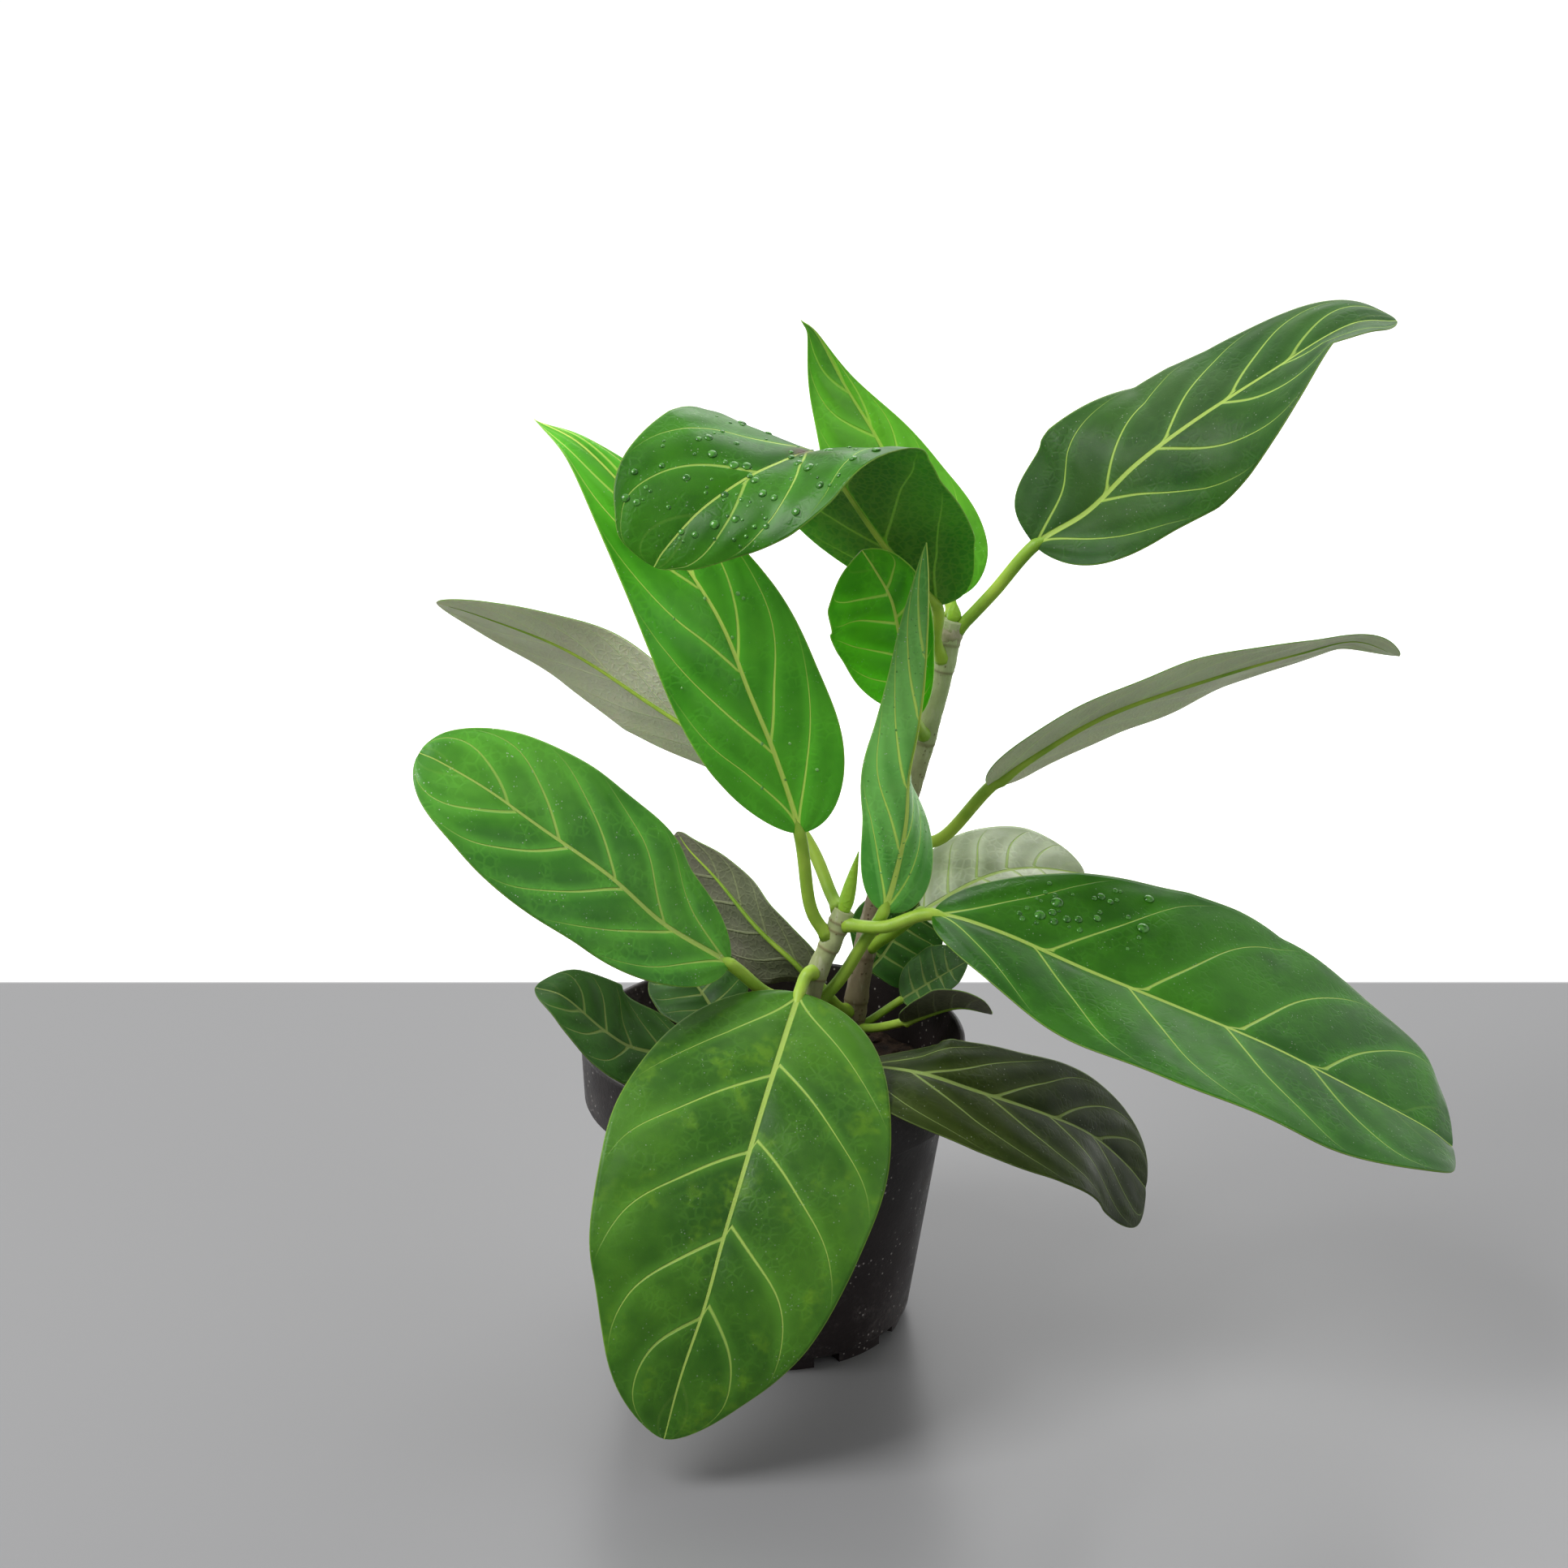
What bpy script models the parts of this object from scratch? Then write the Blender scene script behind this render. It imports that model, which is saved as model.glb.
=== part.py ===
"""Potted ficus: a nursery pot of soil, two stems, their buds and the leaves they carry.

The pot stands on the plane z = 0 with its axis on +Z. +X is to the right and +Y to the back of the
plant as it is usually looked at. Sizes are in millimetres and MM turns them into metres.
"""
import math

import bmesh
import bpy
from mathutils import Vector

MM = 0.001
UP = Vector((0, 0, 1))

# Pot
POT_HEIGHT = 120.0
RIM_RADIUS = 75.0
RIM_WALL = 2.2
RIM_ROUNDING = 0.6
LIP_HEIGHT = 1.5
COLLAR_HEIGHT = 25.0
COLLAR_STEP = 6.0
COLLAR_TAPER = 1.0
BASE_RADIUS = 54.0
BASE_CURVE = 2.0
POT_WALL = 1.5
POT_FLOOR = 2.0
POT_SEGMENTS = 60

# Feet, standing pad and drain slots under the pot; their lengths are counted in turn segments
FOOT_HEIGHT = 5.0
FOOT_INSET = 2.5
FOOT_WIDTH = 7.0
FOOT_SEGMENTS = 4
DRAIN_SEGMENTS = 2
PATTERN_TURN = 4
DRAIN_INNER_RADIUS = 30.0
DRAIN_LENGTH = 7.0
PAD_RADIUS = 12.0

# Soil
SOIL_DROP = 21.0
SOIL_CLEARANCE = 0.4
SOIL_CROWN_DROP = 1.0
SOIL_EDGE = 1.5
SOIL_TOP = POT_HEIGHT - SOIL_DROP

# Stems
FRONT_STEM_RADIUS = 4.4
BACK_STEM_RADIUS = 4.6
FRONT_STEM_HEIGHT = 80.0
BACK_STEM_HEIGHT = 182.0
STEM_TIP_SHARE = 0.86
STEM_BURIED = 22.0
STEM_SIDES = 10
STEM_RINGS = 12
TOUCH_GAP = 0.45

# Buds
BUD_RADIUS = 3.0
BUD_SIDES = 8
BUD_SHEATH = ((0.0, 0.8), (0.15, 1.0), (0.4, 0.85), (0.7, 0.5), (0.93, 0.16), (1.0, 0.05))

# Leaves
PETIOLE_RADIUS = 2.1
PETIOLE_RINGS = 4
BLADE_THICKNESS = 0.9
MARGIN_THICKNESS = 0.5
RIB_DEPTH = 1.1
TIP_HALF_WIDTH = 0.7
STATIONS = (0.0, 0.02, 0.07, 0.15, 0.26, 0.38, 0.5, 0.62, 0.74, 0.85, 0.94, 1.0)
ACROSS = (-1.0, -0.55, 0.0, 0.55, 1.0)
CURVE_STEPS = 16
OVAL = ((0.52, 0.62), (0.52, 0.62))

# A stem's path is a list of (x, y, share of its height) from the soil's surface to the stem's top.
STEMS = {
    "front": {
        "radius": FRONT_STEM_RADIUS, "height": FRONT_STEM_HEIGHT,
        "path": [(8, -12, 0.0), (11, -16, 0.3), (14, -20, 0.55), (17, -20, 0.7), (23, -19, 0.87),
                 (27, -18, 1.0)],
        "bud": 24.0, "bud_lean": (0.0, 0.0, 0.6),
    },
    "back": {
        "radius": BACK_STEM_RADIUS, "height": BACK_STEM_HEIGHT,
        "path": [(30, 28, 0.0), (33, 28, 0.13), (38, 27, 0.3), (47, 27, 0.49), (56, 26, 0.68),
                 (64, 25, 0.86), (69, 25, 1.0)],
        "bud": 8.0, "bud_lean": (-0.2, 0.0, 0.6),
    },
}

# Each leaf grows from a stem at a share of its height. "path" runs from there along the petiole and
# the midrib, as offsets from the stem's middle; "blade" is the point where the blade starts. "drape"
# carries on over the rim, as (bearing, distance outside the rim, height above the rim). "shape" says
# how full the left and the right half are towards the base and the tip, where small numbers are
# full, and "half" holds their widths. "face" says where the upper side looks, and "fold" and
# "curl" bend the two halves up, in degrees: each is a list from the blade's base to its tip.
# "wave" ripples the margins (height, number).
LEAVES = [
    {
        "name": "leaf_front", "stem": "front", "share": 0.70, "blade": 2,
        "path": [(-4, -6, 1), (-7, -12, -4)],
        "drape": [(-91, -3, 11), (-96, 24, -10), (-99, 40, -31), (-101, 52, -51), (-104, 62, -76),
                  (-106, 67, -99)],
        "shape": ((0.50, 0.66), (0.50, 0.66)), "half": (51, 52), "wave": (1.0, 2.0),
        "face": [(0.0, -0.3, 1.0), (0.05, -0.7, 0.7), (0.0, -1.0, 0.3)],
        "fold": [(4, 8)], "curl": [(-14, -10)],
    },
    {
        "name": "leaf_right_large", "stem": "front", "share": 0.93, "blade": 2,
        "path": [(17, -10, 3), (35, -12, 9), (59, -17, 4), (92, -26, -8), (122, -34, -18),
                 (158, -42, -31), (185, -46, -44), (216, -50, -60), (228, -50, -69)],
        "shape": ((0.62, 0.34), (0.44, 0.36)), "half": (66, 51), "wave": (2.0, 2.0),
        "face": [(0.1, -0.25, 1.0), (0.3, -0.3, 1.0), (0.4, -0.2, 0.9)],
        "fold": [(8, 8), (18, 8), (18, 8), (6, 8), (6, 8), (8, 8)], "curl": [(-10, -6)],
    },
    {
        "name": "leaf_upright_left", "stem": "front", "share": 0.84, "blade": 2,
        "path": [(-8, -2, 16), (-12, -4, 46), (-21, -6, 77), (-30, -8, 101), (-43, -6, 133),
                 (-66, 2, 165), (-90, 10, 190), (-109, 18, 199)],
        "shape": ((0.70, 1.05), (0.50, 1.30)), "half": (31, 28), "wave": (1.0, 2.0),
        "face": [(0.1, -1.0, 0.2), (0.2, -1.0, 0.2), (0.5, -0.8, 0.4)],
        "fold": [(22, 24), (22, 24), (16, 10)], "curl": [(-8, -8), (-8, -8), (-8, -60)],
    },
    {
        "name": "leaf_left", "stem": "front", "share": 0.53, "blade": 2,
        "path": [(-16, -5, 6), (-30, -16, 23), (-54, -26, 43), (-74, -30, 64), (-99, -32, 84),
                 (-117, -32, 98), (-134, -30, 108), (-142, -28, 111)],
        "shape": ((0.55, 0.45), (0.55, 0.52)), "half": (32, 33), "wave": (1.0, 1.5),
        "face": [(0.3, -0.7, 0.7), (0.35, -0.7, 0.7), (0.2, -0.7, 0.7)],
        "fold": [(6, 6)], "curl": [(-8, -8)],
    },
    {
        "name": "leaf_back_left", "stem": "front", "share": 0.97, "blade": 2,
        "path": [(-4, 8, 6), (-15, 24, 25), (-43, 44, 49), (-75, 56, 68), (-106, 64, 86),
                 (-138, 68, 98), (-157, 68, 104)],
        "shape": OVAL, "half": (27, 36), "wave": (1.0, 2.0),
        "face": [(-0.1, 0.5, 0.9), (-0.1, 0.7, 0.7), (0.0, 0.6, 0.8)],
        "fold": [(6, 6)], "curl": [(-6, -6)],
    },
    {
        "name": "leaf_low_back_left", "stem": "back", "share": 0.10, "blade": 2,
        "path": [(-7, -8, 6), (-14, -16, 18), (-23, -18, 29), (-38, -11, 41), (-54, 0, 57),
                 (-65, 6, 67), (-70, 8, 74)],
        "shape": OVAL, "half": (13, 24), "wave": (1.0, 2.0),
        "face": [(0.5, 0.8, 0.1), (0.5, 0.8, 0.1)],
        "fold": [(6, 6)], "curl": [(-6, -6)],
    },
    {
        "name": "leaf_inner_left", "stem": "front", "share": 0.16, "blade": 2,
        "path": [(-12, 4, 8), (-28, 6, 15), (-37, 20, 22), (-45, 34, 27), (-52, 45, 30)],
        "shape": OVAL, "half": (19, 19), "wave": (0.5, 2.0),
        "face": [(-0.2, -0.3, 1.0), (-0.2, -0.3, 1.0)],
        "fold": [(8, 8)], "curl": [(-8, -8)],
    },
    {
        "name": "leaf_rim_left", "stem": "front", "share": 0.13, "blade": 2,
        "path": [(-18, -10, 10), (-38, -20, 16), (-60, -27, 22), (-72, -33, 32), (-87, -35, 47),
                 (-98, -33, 50)],
        "shape": OVAL, "half": (18, 24), "wave": (0.5, 2.0),
        "face": [(0.3, -0.4, 1.0), (0.5, -0.5, 0.8), (0.3, -0.4, 1.0)],
        "fold": [(4, 4)], "curl": [(-6, -6)],
    },
    {
        "name": "leaf_folded_centre", "stem": "front", "share": 0.45, "blade": 3,
        "path": [(13, 1, 15), (22, 0, 31), (29, -5, 45), (34, -8, 64), (37, -11, 83), (38, -12, 102),
                 (41, -11, 119), (43, -10, 136), (44, -9, 159), (44, -8, 176), (43, -8, 190)],
        "shape": ((0.42, 0.80), (0.36, 0.80)), "half": (18, 23), "wave": (0.5, 2.0),
        "face": [(0.1, -1.0, 0.1), (0.5, -0.85, 0.0), (0.85, -0.6, 0.0), (0.85, -0.6, 0.0),
                 (0.8, -0.6, 0.0)],
        "fold": [(-8, -8), (-25, -30), (-48, -55), (-50, -60), (-40, -50)],
        "curl": [(-30, -15), (-45, -25), (-30, -25), (-20, -20), (-10, -10)],
    },
    {
        "name": "leaf_cupped", "stem": "back", "share": 0.74, "blade": 2,
        "path": [(-2, -6, 4), (-5, -14, 12), (-7, -20, 25), (-10, -24, 39), (-12, -27, 51), (-15, -30, 64),
                 (-21, -34, 76), (-26, -39, 85)],
        "shape": ((0.80, 0.38), (0.70, 0.42)), "half": (27, 15), "wave": (0.0, 2.0),
        "face": [(-0.1, -1.0, 0.2), (-0.1, -1.0, 0.3)],
        "fold": [(14, 14), (16, 16), (10, 10)], "curl": [(14, 14), (20, 20)],
    },
    {
        "name": "leaf_top_right", "stem": "back", "share": 0.96, "blade": 2,
        "path": [(16, -3, 19), (31, -5, 38), (50, -9, 52), (67, -13, 71), (87, -13, 87),
                 (114, -9, 104), (144, -3, 121), (163, 1, 122)],
        "shape": ((0.28, 0.52), (0.56, 0.66)), "half": (36, 33), "wave": (2.0, 1.6),
        "face": [(-0.3, -0.8, 0.6), (-0.4, -0.8, 0.6), (-0.3, -0.4, 0.9)],
        "fold": [(14, 8), (8, 6), (-18, 0), (-16, 14), (-8, 36), (2, 12)],
        "curl": [(-8, -8), (-8, -8), (-8, -8), (-10, 6), (-10, 8), (-8, 0)],
    },
    {
        "name": "leaf_narrow_right", "stem": "back", "share": 0.50, "blade": 2,
        "path": [(18, -7, 4), (36, -17, 29), (54, -19, 44), (81, -19, 60), (121, -15, 73),
                 (152, -9, 80), (174, -6, 84), (192, -3, 77)],
        "shape": OVAL, "half": (36, 28), "wave": (1.0, 2.0),
        "face": [(-0.3, 0.6, 0.75), (-0.3, 0.55, 0.8), (0.1, 0.4, 0.9)],
        "fold": [(4, 4)], "curl": [(-6, -6)],
    },
    {
        "name": "leaf_top_centre", "stem": "back", "share": 0.99, "blade": 1,
        "path": [(-1, 9, 7), (-6, 13, 18), (-17, 21, 42), (-28, 29, 64), (-42, 31, 87),
                 (-52, 29, 106), (-58, 25, 112)],
        "shape": ((0.45, 1.05), (0.42, 1.90)), "half": (30, 23), "wave": (1.0, 2.0),
        "face": [(0.2, -1.0, 0.2), (0.2, -1.0, 0.3)],
        "fold": [(10, 10)], "curl": [(-8, -8)],
    },
    {
        "name": "leaf_curled", "stem": "back", "share": 0.90, "blade": 2,
        "path": [(-4, -7, 12), (-4, -13, 27), (-15, -19, 42), (-26, -25, 57), (-37, -33, 75),
                 (-44, -42, 88), (-51, -55, 97), (-64, -65, 95), (-76, -73, 91), (-91, -81, 82),
                 (-103, -87, 70), (-107, -89, 64)],
        "shape": ((0.38, 0.56), (0.95, 0.46)), "half": (38, 42), "wave": (1.5, 2.0),
        "face": [(0.1, 0.95, 0.2), (0.2, 0.8, 0.5), (0.15, 0.3, 0.95), (-0.1, -0.7, 0.7),
                 (0.1, -0.85, 0.5)],
        "fold": [(4, 4), (8, 4), (16, 4), (8, 4), (4, 4)], "curl": [(-10, -10)],
    },
    {
        "name": "leaf_behind_right", "stem": "back", "share": 0.25, "blade": 2,
        "path": [(10, -8, 10), (22, -14, 22), (45, -12, 35), (64, -6, 37), (86, -2, 33)],
        "shape": ((0.34, 0.60), (0.42, 0.60)), "half": (25, 20), "wave": (0.5, 2.0),
        "face": [(-0.3, -0.5, 0.9), (-0.2, -0.5, 0.9), (0.1, -0.5, 0.9)],
        "fold": [(6, 6)], "curl": [(-8, -8)],
    },
    {
        "name": "leaf_behind_stem", "stem": "back", "share": 0.14, "blade": 2,
        "path": [(3, 9, 2), (5, 15, 4), (11, 18, 10), (19, 21, 22), (28, 22, 34)],
        "shape": ((0.40, 0.52), (0.40, 0.52)), "half": (19, 20), "wave": (0.5, 2.0),
        "face": [(0.0, -1.0, 0.3), (0.0, -1.0, 0.3)],
        "fold": [(6, 6)], "curl": [(-6, -6)],
    },
    {
        "name": "leaf_rim_right", "stem": "front", "share": 0.16, "blade": 2,
        "path": [(10, -10, 4), (22, -18, 9)],
        "drape": [(-46, 3, 9), (-38, 20, 3), (-25, 39, -12), (-16, 52, -27), (-9, 64, -46),
                  (-4, 72, -62)],
        "shape": ((0.50, 0.34), (0.46, 0.34)), "half": (27, 33), "wave": (1.0, 2.0),
        "face": [(0.1, -0.3, 1.0), (0.3, -0.5, 1.0), (0.5, -0.7, 0.7)],
        "fold": [(6, 6)], "curl": [(-8, -8)],
    },
    {
        "name": "leaf_spoon", "stem": "back", "share": 0.06, "blade": 2,
        "path": [(10, -8, 4), (20, -16, 10), (40, -22, 19), (54, -26, 18)],
        "shape": ((0.45, 0.36), (0.45, 0.36)), "half": (10, 15), "wave": (0.3, 2.0),
        "face": [(-0.2, 0.5, 1.0), (-0.1, 0.6, 0.9), (0.2, 0.5, 1.0)],
        "fold": [(10, 10)], "curl": [(20, 20)],
    },
    {
        "name": "leaf_low_right", "stem": "back", "share": 0.05, "blade": 2,
        "path": [(9, 1, 6), (20, 1, 14), (33, 0, 23), (46, -2, 32)],
        "shape": OVAL, "half": (16, 10), "wave": (0.5, 2.0),
        "face": [(-0.2, -0.5, 0.9), (-0.2, -0.5, 0.9), (0.0, -0.5, 0.9)],
        "fold": [(6, 6)], "curl": [(-8, -8)],
    },
    {
        "name": "leaf_small_centre", "stem": "back", "share": 0.04, "blade": 1,
        "path": [(-5, -5, 2), (-10, -12, 4), (-16, -18, 4)],
        "shape": OVAL, "half": (5, 5), "wave": (0.3, 1.0),
        "face": [(0.0, -0.3, 1.0), (0.0, -0.4, 1.0)],
        "fold": [(6, 6)], "curl": [(-6, -6)],
    },
]

# Base colour and roughness of each kind of piece
COLOURS = {
    "pot": ((0.018, 0.014, 0.014, 1.0), 0.45),
    "soil": ((0.030, 0.018, 0.012, 1.0), 0.95),
    "stem_front": ((0.26, 0.27, 0.14, 1.0), 0.7),
    "stem_back": ((0.30, 0.22, 0.13, 1.0), 0.75),
    "bud": ((0.30, 0.50, 0.06, 1.0), 0.45),
    "leaf": ((0.035, 0.15, 0.020, 1.0), 0.4),
}


def clear_scene():
    for scene_object in list(bpy.data.objects):
        bpy.data.objects.remove(scene_object, do_unlink=True)


def add_object(name, mesh_builder, colour_key):
    """Make a named object from a bmesh, in metres, with a Principled material of its own."""
    colour, roughness = COLOURS[colour_key]
    bmesh.ops.recalc_face_normals(mesh_builder, faces=mesh_builder.faces)
    bmesh.ops.scale(mesh_builder, vec=(MM, MM, MM), verts=mesh_builder.verts)
    mesh = bpy.data.meshes.new(name)
    mesh_builder.to_mesh(mesh)
    mesh_builder.free()
    mesh.shade_smooth()
    material = bpy.data.materials.new(name + "_material")
    material.use_nodes = True
    shader = material.node_tree.nodes["Principled BSDF"]
    shader.inputs["Base Color"].default_value = colour
    shader.inputs["Roughness"].default_value = roughness
    shader.inputs["Metallic"].default_value = 0.0
    mesh.materials.append(material)
    new_object = bpy.data.objects.new(name, mesh)
    bpy.context.scene.collection.objects.link(new_object)
    return new_object


def spin_profile(profile, steps):
    """Turn a line of (radius, height) points round the Z axis and close what stays open."""
    mesh_builder = bmesh.new()
    points = [mesh_builder.verts.new((radius, 0.0, height)) for radius, height in profile]
    edges = [mesh_builder.edges.new((a, b)) for a, b in zip(points, points[1:])]
    bmesh.ops.spin(mesh_builder, geom=points + edges, cent=(0, 0, 0), axis=(0, 0, 1),
                   angle=2 * math.pi, steps=steps, use_merge=True)
    bmesh.ops.remove_doubles(mesh_builder, verts=mesh_builder.verts, dist=0.01)
    open_edges = [edge for edge in mesh_builder.edges if edge.is_boundary]
    bmesh.ops.holes_fill(mesh_builder, edges=open_edges, sides=0)
    bmesh.ops.recalc_face_normals(mesh_builder, faces=mesh_builder.faces)
    return mesh_builder


def wall_radius(height):
    """Outer radius of the tapered wall at a height above the plane."""
    collar_bottom = POT_HEIGHT - COLLAR_HEIGHT
    top_radius = RIM_RADIUS - COLLAR_TAPER - COLLAR_STEP
    share = (height - FOOT_HEIGHT) / (collar_bottom - FOOT_HEIGHT)
    return BASE_RADIUS + (top_radius - BASE_RADIUS) * share


def inner_radius(height):
    """Inner radius of the pot: the wall's inside, then a flare up to the rim inside the collar."""
    collar_bottom = POT_HEIGHT - COLLAR_HEIGHT
    if height <= collar_bottom:
        return wall_radius(height) - POT_WALL
    share = (height - collar_bottom) / COLLAR_HEIGHT
    bottom = wall_radius(collar_bottom) - POT_WALL
    return bottom + (RIM_RADIUS - RIM_WALL - bottom) * share


def faces_between(mesh_builder, height, low_radius, high_radius):
    """Flat faces at one height whose middles lie between two radii."""
    found = []
    for face in mesh_builder.faces:
        middle = face.calc_center_median()
        flat = all(abs(vert.co.z - height) < 0.01 for vert in face.verts)
        if flat and low_radius < math.hypot(middle.x, middle.y) < high_radius:
            found.append(face)
    return found


def segments_round(place):
    """How far round the base a place is, in turn segments from the start of a foot."""
    turn = math.degrees(math.atan2(place.y, place.x)) % 360.0
    return turn / 360.0 * POT_SEGMENTS + PATTERN_TURN


def in_foot(face):
    """Whether a face of the base lies in a foot's stretch of the turn, not in a drain's."""
    return segments_round(face.calc_center_median()) % (FOOT_SEGMENTS + DRAIN_SEGMENTS) < FOOT_SEGMENTS


def drain_edges(mesh_builder, number):
    """The open edges round one drain slot."""
    period = FOOT_SEGMENTS + DRAIN_SEGMENTS
    middle = number * period + FOOT_SEGMENTS + DRAIN_SEGMENTS / 2
    found = []
    for edge in mesh_builder.edges:
        place = (edge.verts[0].co + edge.verts[1].co) / 2
        apart = (segments_round(place) - middle + POT_SEGMENTS / 2) % POT_SEGMENTS - POT_SEGMENTS / 2
        if edge.is_boundary and abs(apart) < (DRAIN_SEGMENTS + 1) / 2:
            found.append(edge)
    return found


def build_pot():
    floor_top = FOOT_HEIGHT + POT_FLOOR
    collar_bottom = POT_HEIGHT - COLLAR_HEIGHT
    foot_outer = BASE_RADIUS - FOOT_INSET
    foot_inner = foot_outer - FOOT_WIDTH
    drain_outer = DRAIN_INNER_RADIUS + DRAIN_LENGTH
    curve_top = FOOT_HEIGHT + BASE_CURVE
    profile = [
        (PAD_RADIUS, FOOT_HEIGHT), (DRAIN_INNER_RADIUS, FOOT_HEIGHT), (drain_outer, FOOT_HEIGHT),
        (foot_inner, FOOT_HEIGHT), (foot_outer, FOOT_HEIGHT), (BASE_RADIUS, FOOT_HEIGHT),
        (wall_radius(curve_top), curve_top), (wall_radius(collar_bottom), collar_bottom),
        (RIM_RADIUS - COLLAR_TAPER, collar_bottom), (RIM_RADIUS, POT_HEIGHT - LIP_HEIGHT),
        (RIM_RADIUS - RIM_ROUNDING, POT_HEIGHT), (RIM_RADIUS - RIM_WALL, POT_HEIGHT),
        (inner_radius(collar_bottom), collar_bottom), (inner_radius(floor_top), floor_top),
        (drain_outer, floor_top), (DRAIN_INNER_RADIUS, floor_top), (PAD_RADIUS, floor_top),
    ]
    mesh_builder = spin_profile(profile, POT_SEGMENTS)

    drains = []
    for height in (FOOT_HEIGHT, floor_top):
        ring = faces_between(mesh_builder, height, DRAIN_INNER_RADIUS, drain_outer)
        drains += [face for face in ring if not in_foot(face)]
    bmesh.ops.delete(mesh_builder, geom=drains, context="FACES")
    for number in range(POT_SEGMENTS // (FOOT_SEGMENTS + DRAIN_SEGMENTS)):
        bmesh.ops.bridge_loops(mesh_builder, edges=drain_edges(mesh_builder, number))

    ring = faces_between(mesh_builder, FOOT_HEIGHT, foot_inner, foot_outer)
    standing = [face for face in ring if in_foot(face)]
    standing += faces_between(mesh_builder, FOOT_HEIGHT, -1.0, PAD_RADIUS)
    grown = bmesh.ops.extrude_face_region(mesh_builder, geom=standing)
    moved = [item for item in grown["geom"] if isinstance(item, bmesh.types.BMVert)]
    bmesh.ops.translate(mesh_builder, vec=(0, 0, -FOOT_HEIGHT), verts=moved)
    bmesh.ops.delete(mesh_builder, geom=standing, context="FACES_ONLY")
    pot = add_object("pot", mesh_builder, "pot")
    pot.data.set_sharp_from_angle(angle=math.radians(30))
    return pot


def smooth_point(points, position):
    """A point on the smooth curve through some points; position counts from the first point."""
    index = min(int(position), len(points) - 2)
    t = position - index
    p1, p2 = points[index], points[index + 1]
    p0 = points[index - 1] if index > 0 else p1 * 2 - p2
    p3 = points[index + 2] if index + 2 < len(points) else p2 * 2 - p1
    return 0.5 * (2 * p1 + (p2 - p0) * t + (2 * p0 - 5 * p1 + 4 * p2 - p3) * t ** 2
                  + (3 * p1 - p0 - 3 * p2 + p3) * t ** 3)


def stem_point(stem, share):
    """The middle of a stem at a share of its height."""
    shares = [point[2] for point in stem["path"]]
    index = 0
    while index < len(shares) - 2 and shares[index + 1] < share:
        index += 1
    position = index + (share - shares[index]) / (shares[index + 1] - shares[index])
    places = [Vector((x, y, SOIL_TOP + stem["height"] * part)) for x, y, part in stem["path"]]
    return smooth_point(places, position)


def stem_radius(stem, share):
    return stem["radius"] * (1.0 - (1.0 - STEM_TIP_SHARE) * share)


def ring_round(middle, direction, radius, sides):
    """A ring of points round a line."""
    start = Vector((1, 0, 0))
    across = (start - direction * start.dot(direction)).normalized()
    upward = direction.cross(across)
    ring = []
    for step in range(sides):
        angle = 2 * math.pi * step / sides
        ring.append(middle + (across * math.cos(angle) + upward * math.sin(angle)) * radius)
    return ring


def loft(rings):
    """A closed skin over rings of equal length, with a flat cap at each end.

    The first half of a ring and the second half split their squares the same way, so that the two
    sides of a thin twisted blade stay apart.
    """
    mesh_builder = bmesh.new()
    rows = [[mesh_builder.verts.new(point) for point in ring] for ring in rings]
    count = len(rows[0])
    for low, high in zip(rows, rows[1:]):
        for step in range(count):
            after = (step + 1) % count
            if step < count // 2:
                mesh_builder.faces.new((low[step], low[after], high[after]))
                mesh_builder.faces.new((low[step], high[after], high[step]))
            else:
                mesh_builder.faces.new((low[step], low[after], high[step]))
                mesh_builder.faces.new((low[after], high[after], high[step]))
    mesh_builder.faces.new(list(reversed(rows[0])))
    mesh_builder.faces.new(rows[-1])
    return mesh_builder


def build_stem(key):
    stem = STEMS[key]
    foot = stem_point(stem, 0.0)
    rings = [ring_round(foot - UP * STEM_BURIED, UP, stem["radius"], STEM_SIDES),
             ring_round(foot, UP, stem["radius"], STEM_SIDES)]
    for step in range(1, STEM_RINGS + 1):
        share = step / STEM_RINGS
        middle = stem_point(stem, share)
        direction = (middle - stem_point(stem, share - 0.02)).normalized()
        rings.append(ring_round(middle, direction, stem_radius(stem, share), STEM_SIDES))
    return add_object("stem_" + key, loft(rings), "stem_" + key)


def build_soil():
    """The potting mix: it fills the pot up to SOIL_TOP and has a hole for each stem's buried foot."""
    low = FOOT_HEIGHT + POT_FLOOR + SOIL_CLEARANCE
    collar_bottom = POT_HEIGHT - COLLAR_HEIGHT
    edge_radius = inner_radius(SOIL_TOP) - SOIL_CLEARANCE
    profile = [(PAD_RADIUS, low), (inner_radius(low) - SOIL_CLEARANCE, low)]
    if SOIL_TOP - SOIL_CROWN_DROP > collar_bottom:
        profile.append((inner_radius(collar_bottom) - SOIL_CLEARANCE, collar_bottom))
    profile += [(inner_radius(SOIL_TOP - SOIL_CROWN_DROP) - SOIL_CLEARANCE, SOIL_TOP - SOIL_CROWN_DROP),
                (edge_radius - SOIL_EDGE, SOIL_TOP), (PAD_RADIUS, SOIL_TOP)]
    soil = add_object("soil", spin_profile(profile, POT_SEGMENTS), "soil")
    for key, stem in STEMS.items():
        bpy.ops.mesh.primitive_cylinder_add(
            vertices=STEM_SIDES * 2, radius=(stem["radius"] + 2 * TOUCH_GAP) * MM,
            depth=2 * (STEM_BURIED + TOUCH_GAP) * MM, location=stem_point(stem, 0.0) * MM)
        cutter = bpy.context.active_object
        cutter.name = "cutter_" + key
        cutter.hide_render = True
        cutter.display_type = "WIRE"
        hole = soil.modifiers.new("hole_" + key, "BOOLEAN")
        hole.operation = "DIFFERENCE"
        hole.solver = "EXACT"
        hole.object = cutter
    return soil


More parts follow.
